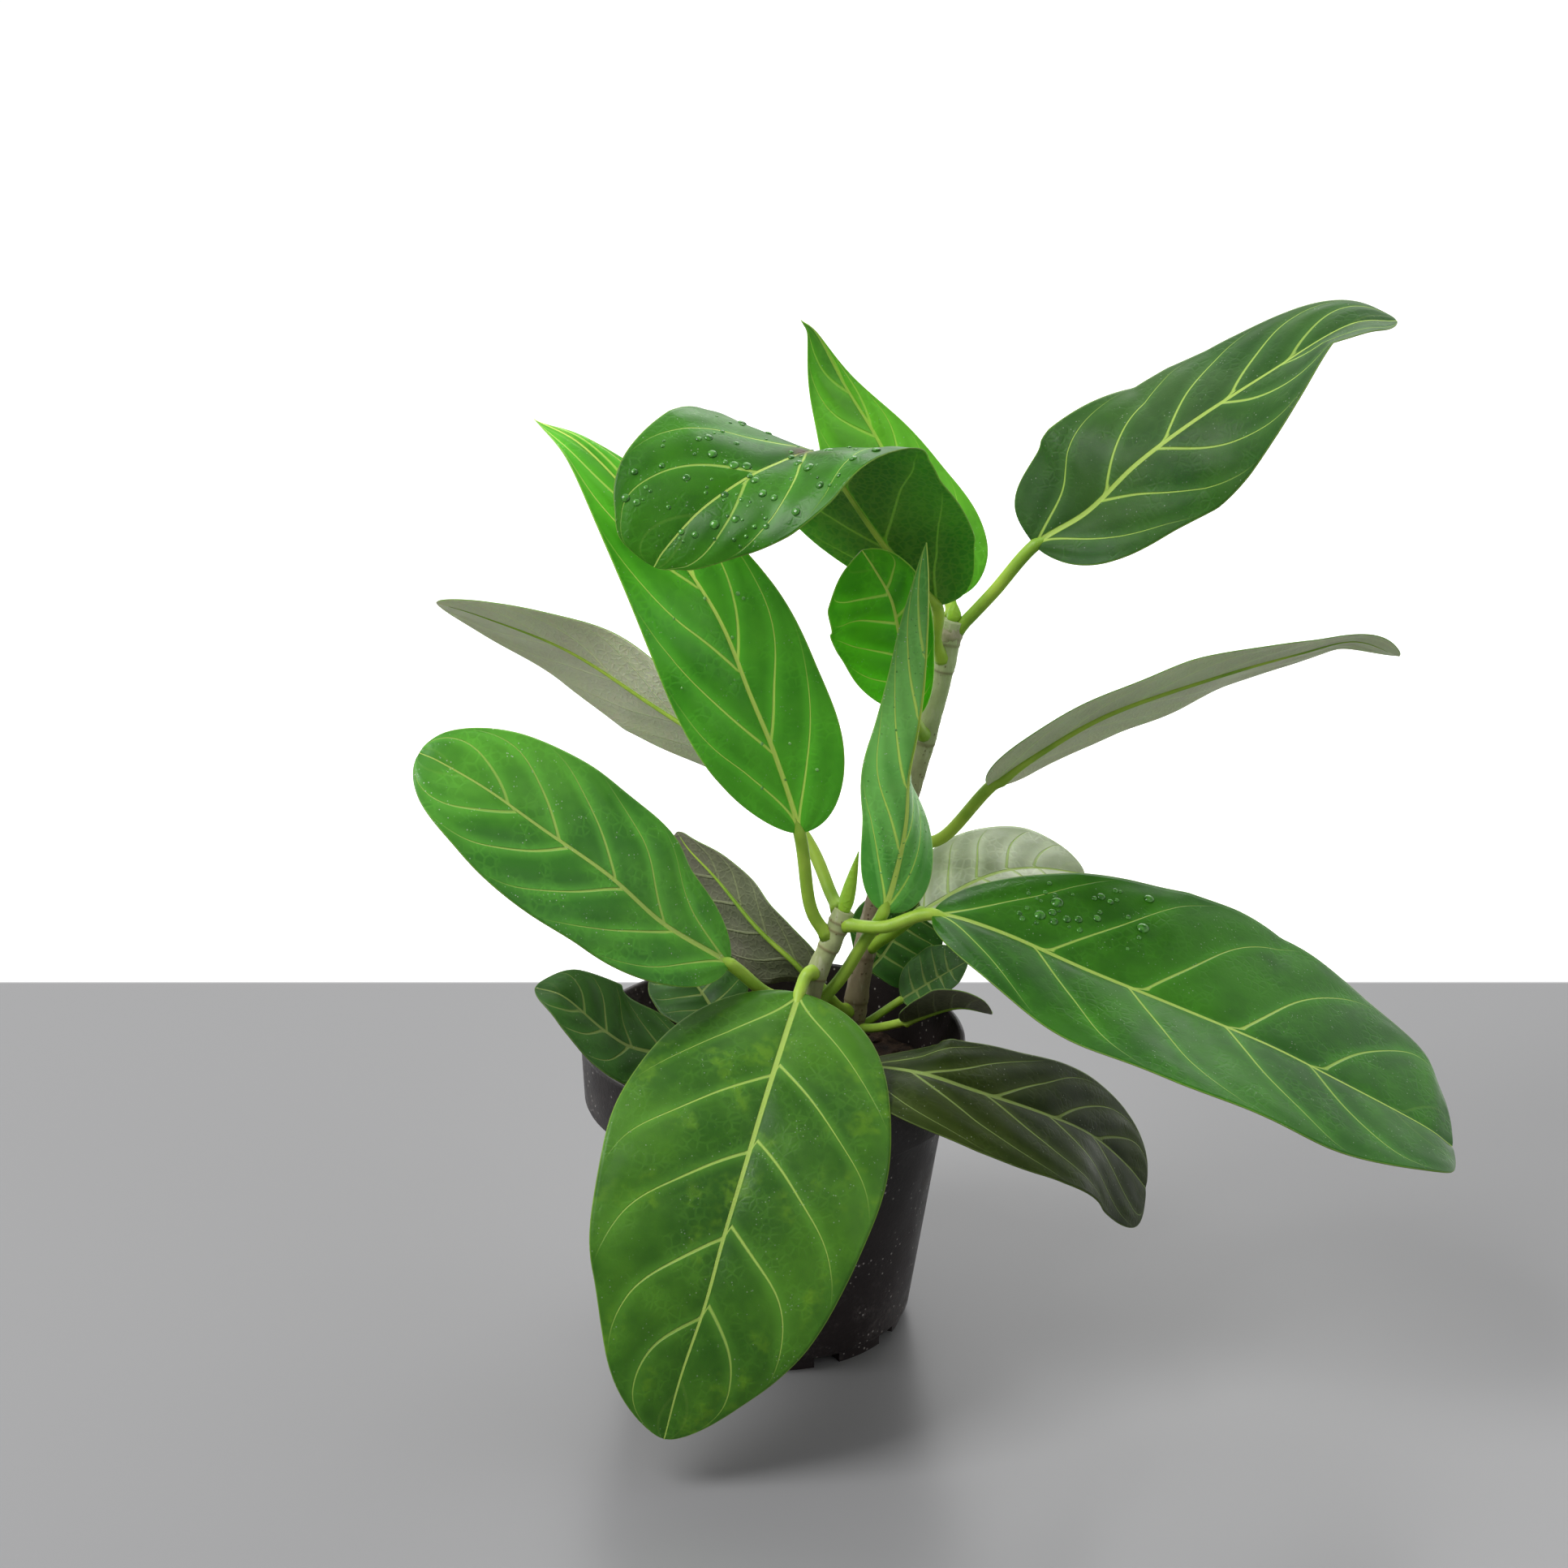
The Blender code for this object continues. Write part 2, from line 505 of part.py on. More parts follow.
def build_bud(key):
    """The pointed sheath at a stem's top."""
    stem = STEMS[key]
    top = stem_point(stem, 1.0)
    upward = (top - stem_point(stem, 0.95)).normalized()
    direction = (upward + Vector(stem["bud_lean"])).normalized()
    foot = top + upward * TOUCH_GAP
    rings = []
    for share, width in BUD_SHEATH:
        line = upward if share == 0.0 else direction
        middle = foot + direction * (stem["bud"] * share)
        rings.append(ring_round(middle, line, BUD_RADIUS * width, BUD_SIDES))
    return add_object("bud_" + key, loft(rings), "bud")


def leaf_points(leaf):
    """A leaf's points from the stem's skin to the tip."""
    stem = STEMS[leaf["stem"]]
    node = stem_point(stem, leaf["share"])
    points = [node + Vector(offset) for offset in leaf["path"]]
    for bearing, out, above in leaf.get("drape", []):
        angle = math.radians(bearing)
        reach = RIM_RADIUS + out
        points.append(Vector((reach * math.cos(angle), reach * math.sin(angle), POT_HEIGHT + above)))
    away = (points[0] - node).normalized()
    upward = (stem_point(stem, leaf["share"] + 0.01) - node).normalized()
    slope = abs(away.dot(upward))
    clear = stem_radius(stem, leaf["share"]) + PETIOLE_RADIUS * slope + TOUCH_GAP
    return [node + away * (clear / math.sqrt(1.0 - slope ** 2))] + points


def measured_curve(points):
    """The smooth curve through some points, as (distance along it, place) pairs."""
    curve = [(0.0, points[0])]
    for step in range(1, (len(points) - 1) * CURVE_STEPS + 1):
        place = smooth_point(points, step / CURVE_STEPS)
        distance, before = curve[-1]
        curve.append((distance + (place - before).length, place))
    return curve


def at_distance(curve, distance):
    """The place at a distance along a measured curve."""
    distance = min(max(distance, 0.0), curve[-1][0])
    index = 1
    while index < len(curve) - 1 and curve[index][0] < distance:
        index += 1
    low, start = curve[index - 1]
    high, end = curve[index]
    return start.lerp(end, (distance - low) / (high - low))


def between(values, u):
    """A value along a list of values, which are spaced evenly from 0 to 1."""
    if len(values) == 1:
        return Vector(values[0])
    position = min(max(u, 0.0), 1.0) * (len(values) - 1)
    index = min(int(position), len(values) - 2)
    return Vector(values[index]).lerp(Vector(values[index + 1]), position - index)


def blade_width(shape, u):
    """Half width of a blade at a share of its length, as a share of the widest."""
    rise, fall = shape
    peak = rise / (rise + fall)
    return (u / peak) ** rise * ((1.0 - u) / (1.0 - peak)) ** fall


def bent_strip(half, fold, curl, share):
    """How far out and how high a point lies on a half blade, and how steep the blade is there."""
    start = math.radians(fold)
    turn = math.radians(curl) * share
    if abs(turn) < 1e-6:
        return half * share * math.cos(start), half * share * math.sin(start), start
    out = half * share * (math.sin(start + turn) - math.sin(start)) / turn
    lift = half * share * (math.cos(start) - math.cos(start + turn)) / turn
    return out, lift, start + turn


def leaf_frame(leaf, curve, distance, u):
    """The place, right and up directions of a leaf at a distance along its curve."""
    reach = 1.5
    forward = (at_distance(curve, distance + reach) - at_distance(curve, distance - reach)).normalized()
    right = forward.cross(between(leaf["face"], u)).normalized()
    return at_distance(curve, distance), right, right.cross(forward)


def petiole_ring(middle, right, upward):
    """A round ring with as many points as a blade ring, upper side first."""
    ring = []
    for step in range(2 * len(ACROSS)):
        angle = math.pi - math.pi * (step + 0.5) / len(ACROSS)
        ring.append(middle + (right * math.cos(angle) + upward * math.sin(angle)) * PETIOLE_RADIUS)
    return ring


def blade_ring(leaf, u, middle, right, upward):
    """The upper points of a blade from left to right, then the lower ones back again."""
    height, number = leaf["wave"]
    fold = between(leaf["fold"], u)
    curl = between(leaf["curl"], u)
    narrowest = PETIOLE_RADIUS if u < STATIONS[2] else TIP_HALF_WIDTH
    top, bottom = [], []
    for across in ACROSS:
        side = 0 if across < 0 else 1
        share = abs(across)
        outward = right * math.copysign(1.0, across)
        width = blade_width(leaf["shape"][side], u)
        half = max(leaf["half"][side] * width, narrowest)
        out, lift, slope = bent_strip(half, fold[side], curl[side], share)
        ripple = height * math.sin(2 * math.pi * number * u + side) * share ** 1.5 * width
        place = middle + outward * out + upward * (lift + ripple)
        normal = upward if across == 0 else upward * math.cos(slope) - outward * math.sin(slope)
        thick = BLADE_THICKNESS + (MARGIN_THICKNESS - BLADE_THICKNESS) * share
        rib = RIB_DEPTH * (1.0 - u) if across == 0 else 0.0
        top.append(place + normal * (thick / 2))
        bottom.append(place - normal * (thick / 2 + rib))
    return top + bottom[::-1]


def build_leaf(leaf):
    points = leaf_points(leaf)
    curve = measured_curve(points)
    start = curve[leaf["blade"] * CURVE_STEPS][0]
    length = curve[-1][0] - start
    rings = []
    for step in range(PETIOLE_RINGS):
        middle, right, upward = leaf_frame(leaf, curve, start * step / PETIOLE_RINGS, 0.0)
        rings.append(petiole_ring(middle, right, upward))
    for u in STATIONS:
        middle, right, upward = leaf_frame(leaf, curve, start + length * u, u)
        if u == 0.0:
            rings.append(petiole_ring(middle, right, upward))
        else:
            rings.append(blade_ring(leaf, u, middle, right, upward))
    return add_object(leaf["name"], loft(rings), "leaf")


def main():
    clear_scene()
    build_pot()
    build_soil()
    for key in STEMS:
        build_stem(key)
        build_bud(key)
    for leaf in LEAVES:
        build_leaf(leaf)


main()
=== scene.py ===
"""The looks of the potted ficus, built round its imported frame.

Every piece is on the body root. Sizes are in millimetres and MM turns them into metres. STEMS and
LEAVES are a copy of the CAD model's own tables, so a change to a stem or leaf there is made here too.
The leaves are drawn from them in a fine mesh with veins, ribs and puckers.
"""
import math
import random

import bmesh
import bpy
import numpy as np
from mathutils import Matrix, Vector, noise


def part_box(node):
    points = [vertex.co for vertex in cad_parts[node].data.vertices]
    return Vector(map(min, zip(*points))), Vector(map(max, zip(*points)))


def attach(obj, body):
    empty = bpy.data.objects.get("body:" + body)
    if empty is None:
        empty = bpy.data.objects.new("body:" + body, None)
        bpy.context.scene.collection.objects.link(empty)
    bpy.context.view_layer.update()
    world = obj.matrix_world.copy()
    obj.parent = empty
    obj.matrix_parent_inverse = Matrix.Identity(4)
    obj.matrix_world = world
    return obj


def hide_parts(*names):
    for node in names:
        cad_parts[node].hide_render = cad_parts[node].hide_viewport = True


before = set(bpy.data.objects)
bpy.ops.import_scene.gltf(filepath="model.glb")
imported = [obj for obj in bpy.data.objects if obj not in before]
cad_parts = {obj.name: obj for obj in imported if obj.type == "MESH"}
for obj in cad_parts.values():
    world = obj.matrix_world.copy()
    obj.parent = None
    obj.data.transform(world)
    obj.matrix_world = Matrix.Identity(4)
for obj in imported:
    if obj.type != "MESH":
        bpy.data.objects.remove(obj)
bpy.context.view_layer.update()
MM = 0.001
SEED = 7

# Camera: a long lens, a little above the plant and looking down on it
CAMERA_PLACE = (4.2, -1160.0, 640.0)
CAMERA_DOWN = 19.75
LENS = 74.5
SENSOR = 36.0

# Pot, from the frame's own box where it says the size
POT_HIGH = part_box("pot")[1]
POT_HEIGHT = POT_HIGH.z / MM
RIM_RADIUS = POT_HIGH.x / MM
SOIL_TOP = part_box("soil")[1].z / MM
RIM_WALL = 2.2
COLLAR_HEIGHT = 25.0
COLLAR_STEP = 6.0
COLLAR_TAPER = 1.0
BASE_RADIUS = 54.0
BASE_CURVE = 2.0
POT_WALL = 1.5
POT_FLOOR = 2.0
POT_SEGMENTS = 180
FOOT_HEIGHT = 5.0
FOOT_INSET = 2.5
FOOT_WIDTH = 7.0
FOOT_SEGMENTS = 12
DRAIN_SEGMENTS = 6
PATTERN_TURN = 12
DRAIN_INNER_RADIUS = 30.0
DRAIN_LENGTH = 7.0
PAD_RADIUS = 12.0

# Soil
SOIL_CLEARANCE = 0.6
SOIL_RINGS = 60
SOIL_TURNS = 200
SOIL_ROUGHNESS = 1.6
CRUMBS = 420

# Stems and buds
FRONT_STEM_RADIUS = 4.4
BACK_STEM_RADIUS = 4.6
FRONT_STEM_HEIGHT = 80.0
BACK_STEM_HEIGHT = 182.0
STEM_TIP_SHARE = 0.86
STEM_SIDES = 40
STEM_RINGS = 260
STEM_SUNK = 6.0
NODE_SWELLING = 0.07
BUD_RADIUS = 3.0
BUD_RINGS = 40
BUD_SIDES = 24
BUD_TWIST = 2.4
BUD_SHEATH = ((0.0, 0.8), (0.15, 1.0), (0.4, 0.85), (0.7, 0.5), (0.93, 0.16), (1.0, 0.05))

# Leaves
PETIOLE_RADIUS = 2.45
BLADE_THICKNESS = 0.8
MARGIN_THICKNESS = 0.4
PUCKER = 0.5
MIDRIB_GROOVE = 0.3
CURVE_STEPS = 16
OVAL = ((0.52, 0.62), (0.52, 0.62))
SIDE_VEINS = (0.0, 0.19, 0.37, 0.55, 0.71, 0.87, 1.05, 1.3)
VEIN_LEAN = 0.25
VEIN_BEND = 0.07
VEIN_LOOP = 0.06
KINK = 0.585

STEMS = {
    "front": {
        "radius": FRONT_STEM_RADIUS, "height": FRONT_STEM_HEIGHT,
        "path": [(8, -12, 0.0), (11, -16, 0.3), (14, -20, 0.55), (17, -20, 0.7), (23, -19, 0.87),
                 (27, -18, 1.0)],
        "bud": 24.0, "bud_lean": (0.0, 0.0, 0.6),
    },
    "back": {
        "radius": BACK_STEM_RADIUS, "height": BACK_STEM_HEIGHT,
        "path": [(30, 28, 0.0), (33, 28, 0.13), (38, 27, 0.3), (47, 27, 0.49), (56, 26, 0.68),
                 (64, 25, 0.86), (69, 25, 1.0)],
        "bud": 8.0, "bud_lean": (-0.2, 0.0, 0.6),
    },
}

# Each leaf grows from a stem at a share of its height. "path" runs from there along the petiole and
# the midrib, as offsets from the stem's middle; "blade" is the point where the blade starts. "drape"
# carries on over the rim, as (bearing, distance outside the rim, height above the rim). "shape" says
# how full the left and the right half are towards the base and the tip, where small numbers are
# full, and "half" holds their widths. "face" says where the upper side looks, and "fold" and
# "curl" bend the two halves up, in degrees: each is a list from the blade's base to its tip.
# "wave" ripples the margins (height, number).
LEAVES = [
    {
        "name": "leaf_front", "stem": "front", "share": 0.70, "blade": 2,
        "path": [(-4, -6, 1), (-7, -12, -4)],
        "drape": [(-91, -3, 11), (-96, 24, -10), (-99, 40, -31), (-101, 52, -51), (-104, 62, -76),
                  (-106, 67, -99)],
        "shape": ((0.50, 0.66), (0.50, 0.66)), "half": (51, 52), "wave": (1.0, 2.0),
        "face": [(0.0, -0.3, 1.0), (0.05, -0.7, 0.7), (0.0, -1.0, 0.3)],
        "fold": [(4, 8)], "curl": [(-14, -10)],
    },
    {
        "name": "leaf_right_large", "stem": "front", "share": 0.93, "blade": 2,
        "path": [(17, -10, 3), (35, -12, 9), (59, -17, 4), (92, -26, -8), (122, -34, -18),
                 (158, -42, -31), (185, -46, -44), (216, -50, -60), (228, -50, -69)],
        "shape": ((0.62, 0.34), (0.44, 0.36)), "half": (66, 51), "wave": (2.0, 2.0),
        "face": [(0.1, -0.25, 1.0), (0.3, -0.3, 1.0), (0.4, -0.2, 0.9)],
        "fold": [(8, 8), (18, 8), (18, 8), (6, 8), (6, 8), (8, 8)], "curl": [(-10, -6)],
    },
    {
        "name": "leaf_upright_left", "stem": "front", "share": 0.84, "blade": 2,
        "path": [(-8, -2, 16), (-12, -4, 46), (-21, -6, 77), (-30, -8, 101), (-43, -6, 133),
                 (-66, 2, 165), (-90, 10, 190), (-109, 18, 199)],
        "shape": ((0.70, 1.05), (0.50, 1.30)), "half": (31, 28), "wave": (1.0, 2.0),
        "face": [(0.1, -1.0, 0.2), (0.2, -1.0, 0.2), (0.5, -0.8, 0.4)],
        "fold": [(22, 24), (22, 24), (16, 10)], "curl": [(-8, -8), (-8, -8), (-8, -60)],
    },
    {
        "name": "leaf_left", "stem": "front", "share": 0.53, "blade": 2,
        "path": [(-16, -5, 6), (-30, -16, 23), (-54, -26, 43), (-74, -30, 64), (-99, -32, 84),
                 (-117, -32, 98), (-134, -30, 108), (-142, -28, 111)],
        "shape": ((0.55, 0.45), (0.55, 0.52)), "half": (32, 33), "wave": (1.0, 1.5),
        "face": [(0.3, -0.7, 0.7), (0.35, -0.7, 0.7), (0.2, -0.7, 0.7)],
        "fold": [(6, 6)], "curl": [(-8, -8)],
    },
    {
        "name": "leaf_back_left", "stem": "front", "share": 0.97, "blade": 2,
        "path": [(-4, 8, 6), (-15, 24, 25), (-43, 44, 49), (-75, 56, 68), (-106, 64, 86),
                 (-138, 68, 98), (-157, 68, 104)],
        "shape": OVAL, "half": (27, 36), "wave": (1.0, 2.0),
        "face": [(-0.1, 0.5, 0.9), (-0.1, 0.7, 0.7), (0.0, 0.6, 0.8)],
        "fold": [(6, 6)], "curl": [(-6, -6)],
    },
    {
        "name": "leaf_low_back_left", "stem": "back", "share": 0.10, "blade": 2,
        "path": [(-7, -8, 6), (-14, -16, 18), (-23, -18, 29), (-38, -11, 41), (-54, 0, 57),
                 (-65, 6, 67), (-70, 8, 74)],
        "shape": OVAL, "half": (13, 24), "wave": (1.0, 2.0),
        "face": [(0.5, 0.8, 0.1), (0.5, 0.8, 0.1)],
        "fold": [(6, 6)], "curl": [(-6, -6)],
    },
    {
        "name": "leaf_inner_left", "stem": "front", "share": 0.16, "blade": 2,
        "path": [(-12, 4, 8), (-28, 6, 15), (-37, 20, 22), (-45, 34, 27), (-52, 45, 30)],
        "shape": OVAL, "half": (19, 19), "wave": (0.5, 2.0),
        "face": [(-0.2, -0.3, 1.0), (-0.2, -0.3, 1.0)],
        "fold": [(8, 8)], "curl": [(-8, -8)],
    },
    {
        "name": "leaf_rim_left", "stem": "front", "share": 0.13, "blade": 2,
        "path": [(-18, -10, 10), (-38, -20, 16), (-60, -27, 22), (-72, -33, 32), (-87, -35, 47),
                 (-98, -33, 50)],
        "shape": OVAL, "half": (18, 24), "wave": (0.5, 2.0),
        "face": [(0.3, -0.4, 1.0), (0.5, -0.5, 0.8), (0.3, -0.4, 1.0)],
        "fold": [(4, 4)], "curl": [(-6, -6)],
    },
    {
        "name": "leaf_folded_centre", "stem": "front", "share": 0.45, "blade": 3,
        "path": [(13, 1, 15), (22, 0, 31), (29, -5, 45), (34, -8, 64), (37, -11, 83), (38, -12, 102),
                 (41, -11, 119), (43, -10, 136), (44, -9, 159), (44, -8, 176), (43, -8, 190)],
        "shape": ((0.42, 0.80), (0.36, 0.80)), "half": (18, 23), "wave": (0.5, 2.0),
        "face": [(0.1, -1.0, 0.1), (0.5, -0.85, 0.0), (0.85, -0.6, 0.0), (0.85, -0.6, 0.0),
                 (0.8, -0.6, 0.0)],
        "fold": [(-8, -8), (-25, -30), (-48, -55), (-50, -60), (-40, -50)],
        "curl": [(-30, -15), (-45, -25), (-30, -25), (-20, -20), (-10, -10)],
    },
    {
        "name": "leaf_cupped", "stem": "back", "share": 0.74, "blade": 2,
        "path": [(-2, -6, 4), (-5, -14, 12), (-7, -20, 25), (-10, -24, 39), (-12, -27, 51), (-15, -30, 64),
                 (-21, -34, 76), (-26, -39, 85)],
        "shape": ((0.80, 0.38), (0.70, 0.42)), "half": (27, 15), "wave": (0.0, 2.0),
        "face": [(-0.1, -1.0, 0.2), (-0.1, -1.0, 0.3)],
        "fold": [(14, 14), (16, 16), (10, 10)], "curl": [(14, 14), (20, 20)],
    },
    {
        "name": "leaf_top_right", "stem": "back", "share": 0.96, "blade": 2,
        "path": [(16, -3, 19), (31, -5, 38), (50, -9, 52), (67, -13, 71), (87, -13, 87),
                 (114, -9, 104), (144, -3, 121), (163, 1, 122)],
        "shape": ((0.28, 0.52), (0.56, 0.66)), "half": (36, 33), "wave": (2.0, 1.6),
        "face": [(-0.3, -0.8, 0.6), (-0.4, -0.8, 0.6), (-0.3, -0.4, 0.9)],
        "fold": [(14, 8), (8, 6), (-18, 0), (-16, 14), (-8, 36), (2, 12)],
        "curl": [(-8, -8), (-8, -8), (-8, -8), (-10, 6), (-10, 8), (-8, 0)],
    },
    {
        "name": "leaf_narrow_right", "stem": "back", "share": 0.50, "blade": 2,
        "path": [(18, -7, 4), (36, -17, 29), (54, -19, 44), (81, -19, 60), (121, -15, 73),
                 (152, -9, 80), (174, -6, 84), (192, -3, 77)],
        "shape": OVAL, "half": (36, 28), "wave": (1.0, 2.0),
        "face": [(-0.3, 0.6, 0.75), (-0.3, 0.55, 0.8), (0.1, 0.4, 0.9)],
        "fold": [(4, 4)], "curl": [(-6, -6)],
    },
    {
        "name": "leaf_top_centre", "stem": "back", "share": 0.99, "blade": 1,
        "path": [(-1, 9, 7), (-6, 13, 18), (-17, 21, 42), (-28, 29, 64), (-42, 31, 87),
                 (-52, 29, 106), (-58, 25, 112)],
        "shape": ((0.45, 1.05), (0.42, 1.90)), "half": (30, 23), "wave": (1.0, 2.0),
        "face": [(0.2, -1.0, 0.2), (0.2, -1.0, 0.3)],
        "fold": [(10, 10)], "curl": [(-8, -8)],
    },
    {
        "name": "leaf_curled", "stem": "back", "share": 0.90, "blade": 2,
        "path": [(-4, -7, 12), (-4, -13, 27), (-15, -19, 42), (-26, -25, 57), (-37, -33, 75),
                 (-44, -42, 88), (-51, -55, 97), (-64, -65, 95), (-76, -73, 91), (-91, -81, 82),
                 (-103, -87, 70), (-107, -89, 64)],
        "shape": ((0.38, 0.56), (0.95, 0.46)), "half": (38, 42), "wave": (1.5, 2.0),
        "face": [(0.1, 0.95, 0.2), (0.2, 0.8, 0.5), (0.15, 0.3, 0.95), (-0.1, -0.7, 0.7),
                 (0.1, -0.85, 0.5)],
        "fold": [(4, 4), (8, 4), (16, 4), (8, 4), (4, 4)], "curl": [(-10, -10)],
    },
    {
        "name": "leaf_behind_right", "stem": "back", "share": 0.25, "blade": 2,
        "path": [(10, -8, 10), (22, -14, 22), (45, -12, 35), (64, -6, 37), (86, -2, 33)],
        "shape": ((0.34, 0.60), (0.42, 0.60)), "half": (25, 20), "wave": (0.5, 2.0),
        "face": [(-0.3, -0.5, 0.9), (-0.2, -0.5, 0.9), (0.1, -0.5, 0.9)],
        "fold": [(6, 6)], "curl": [(-8, -8)],
    },
    {
        "name": "leaf_behind_stem", "stem": "back", "share": 0.14, "blade": 2,
        "path": [(3, 9, 2), (5, 15, 4), (11, 18, 10), (19, 21, 22), (28, 22, 34)],
        "shape": ((0.40, 0.52), (0.40, 0.52)), "half": (19, 20), "wave": (0.5, 2.0),
        "face": [(0.0, -1.0, 0.3), (0.0, -1.0, 0.3)],
        "fold": [(6, 6)], "curl": [(-6, -6)],
    },
    {
        "name": "leaf_rim_right", "stem": "front", "share": 0.16, "blade": 2,
        "path": [(10, -10, 4), (22, -18, 9)],
        "drape": [(-46, 3, 9), (-38, 20, 3), (-25, 39, -12), (-16, 52, -27), (-9, 64, -46),
                  (-4, 72, -62)],
        "shape": ((0.50, 0.34), (0.46, 0.34)), "half": (27, 33), "wave": (1.0, 2.0),
        "face": [(0.1, -0.3, 1.0), (0.3, -0.5, 1.0), (0.5, -0.7, 0.7)],
        "fold": [(6, 6)], "curl": [(-8, -8)],
    },
    {
        "name": "leaf_spoon", "stem": "back", "share": 0.06, "blade": 2,
        "path": [(10, -8, 4), (20, -16, 10), (40, -22, 19), (54, -26, 18)],
        "shape": ((0.45, 0.36), (0.45, 0.36)), "half": (10, 15), "wave": (0.3, 2.0),
        "face": [(-0.2, 0.5, 1.0), (-0.1, 0.6, 0.9), (0.2, 0.5, 1.0)],
        "fold": [(10, 10)], "curl": [(20, 20)],
    },
    {
        "name": "leaf_low_right", "stem": "back", "share": 0.05, "blade": 2,
        "path": [(9, 1, 6), (20, 1, 14), (33, 0, 23), (46, -2, 32)],
        "shape": OVAL, "half": (16, 10), "wave": (0.5, 2.0),
        "face": [(-0.2, -0.5, 0.9), (-0.2, -0.5, 0.9), (0.0, -0.5, 0.9)],
        "fold": [(6, 6)], "curl": [(-8, -8)],
    },
    {
        "name": "leaf_small_centre", "stem": "back", "share": 0.04, "blade": 1,
        "path": [(-5, -5, 2), (-10, -12, 4), (-16, -18, 4)],
        "shape": OVAL, "half": (5, 5), "wave": (0.3, 1.0),
        "face": [(0.0, -0.3, 1.0), (0.0, -0.4, 1.0)],
        "fold": [(6, 6)], "curl": [(-6, -6)],
    },
]


def unit(vectors):
    return vectors / np.linalg.norm(vectors, axis=-1, keepdims=True)


def smooth_curve(points):
    """The smooth curve through some points, CURVE_STEPS samples to a stretch."""
    points = np.array(points, float)
    ends = np.vstack([2 * points[0] - points[1], points, 2 * points[-1] - points[-2]])
    t = (np.arange(CURVE_STEPS) / CURVE_STEPS)[:, None]
    pieces = []
    for p0, p1, p2, p3 in zip(ends, ends[1:], ends[2:], ends[3:]):
        pieces.append(0.5 * (2 * p1 + (p2 - p0) * t + (2 * p0 - 5 * p1 + 4 * p2 - p3) * t ** 2
                             + (3 * p1 - p0 - 3 * p2 + p3) * t ** 3))
    return np.vstack(pieces + [points[-1:]])


def lengths_along(curve):
    steps = np.linalg.norm(np.diff(curve, axis=0), axis=1)
    return np.concatenate([[0.0], np.cumsum(steps)])


def fade(values, full, none):
    """1 up to full and 0 from none on, eased between them."""
    t = np.clip((np.asarray(values) - full) / (none - full), 0.0, 1.0)
    return 1.0 - t * t * (3.0 - 2.0 * t)


def read_along(wanted, known, values):
    """Values of a curve's points at the wanted measures of it."""
    return np.stack([np.interp(wanted, known, values[:, axis]) for axis in range(values.shape[1])], axis=-1)


def stem_line(stem):
    """A stem's middle line and the share of its height at each sample."""
    places = [(x, y, SOIL_TOP + stem["height"] * share) for x, y, share in stem["path"]]
    curve = smooth_curve(places)
    shares = np.interp(np.arange(len(curve)) / CURVE_STEPS, range(len(places)),
                       [point[2] for point in stem["path"]])
    return curve, shares


def stem_radius(stem, share):
    return stem["radius"] * (1.0 - (1.0 - STEM_TIP_SHARE) * share)


def directions_along(places):
    """Forward, across and upward directions along a stem's middle line."""
    forward = unit(np.gradient(places, axis=0))
    across = unit(np.cross(forward, np.array([0.0, 1.0, 0.0])))
    return forward, across, np.cross(across, forward)


def place_piece(name, mesh, replaced=()):
    """A mesh as a piece of the plant, on the root body, and the CAD nodes that it stands for."""
    piece = bpy.data.objects.new(name, mesh)
    bpy.context.scene.collection.objects.link(piece)
    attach(piece, "root")
    if replaced:
        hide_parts(*replaced)
    return piece


def make_piece(name, points, faces, materials, face_materials=None, replaced=()):
    """A piece of the plant from points in millimetres."""
    mesh = bpy.data.meshes.new(name)
    mesh.from_pydata((np.asarray(points) * MM).tolist(), [], faces)
    for material in materials:
        mesh.materials.append(material)
    if face_materials is not None:
        mesh.polygons.foreach_set("material_index", face_materials)
    mesh.shade_smooth()
    return place_piece(name, mesh, replaced)


def mesh_from_builder(name, builder, material):
    """A mesh in metres from a bmesh in millimetres."""
    bmesh.ops.scale(builder, vec=(MM, MM, MM), verts=builder.verts)
    mesh = bpy.data.meshes.new(name)
    builder.to_mesh(mesh)
    builder.free()
    mesh.materials.append(material)
    return mesh


def add_attribute(piece, name, values):
    made = piece.data.attributes.new(name, "FLOAT", "POINT")
    made.data.foreach_set("value", np.asarray(values, np.float32).ravel())


def tube(places, across, upward, radii, sides):
    """Points and faces of a closed tube whose rings lie in the planes of two directions."""
    count = len(places)
    angles = 2 * math.pi * np.arange(sides) / sides
    rings = (places[:, None] + radii[:, None, None] * (across[:, None] * np.cos(angles)[None, :, None]
                                                       + upward[:, None] * np.sin(angles)[None, :, None]))
    faces = []
    for low in range(count - 1):
        for step in range(sides):
            after = (step + 1) % sides
            faces.append((low * sides + after, low * sides + step,
                          (low + 1) * sides + step, (low + 1) * sides + after))
    faces.append(tuple(range(sides)))
    faces.append(tuple((count - 1) * sides + step for step in reversed(range(sides))))
    return rings.reshape(-1, 3), faces


# Node helpers

def new_material(name, roughness=0.5, specular=0.5):
    material = bpy.data.materials.new(name)
    material.use_nodes = True
    tree = material.node_tree
    shader = tree.nodes["Principled BSDF"]
    shader.inputs["Roughness"].default_value = roughness
    shader.inputs["Specular IOR Level"].default_value = specular
    return material, tree, shader


def plug(tree, value, socket):
    if isinstance(value, bpy.types.NodeSocket):
        tree.links.new(value, socket)
    else:
        socket.default_value = value


def attribute(tree, name):
    node = tree.nodes.new("ShaderNodeAttribute")
    node.attribute_name = name
    return node.outputs["Fac"]


def calculate(tree, operation, first, second=0.0, third=0.0):
    node = tree.nodes.new("ShaderNodeMath")
    node.operation = operation
    for value, socket in zip((first, second, third), node.inputs):
        plug(tree, value, socket)
    return node.outputs["Value"]


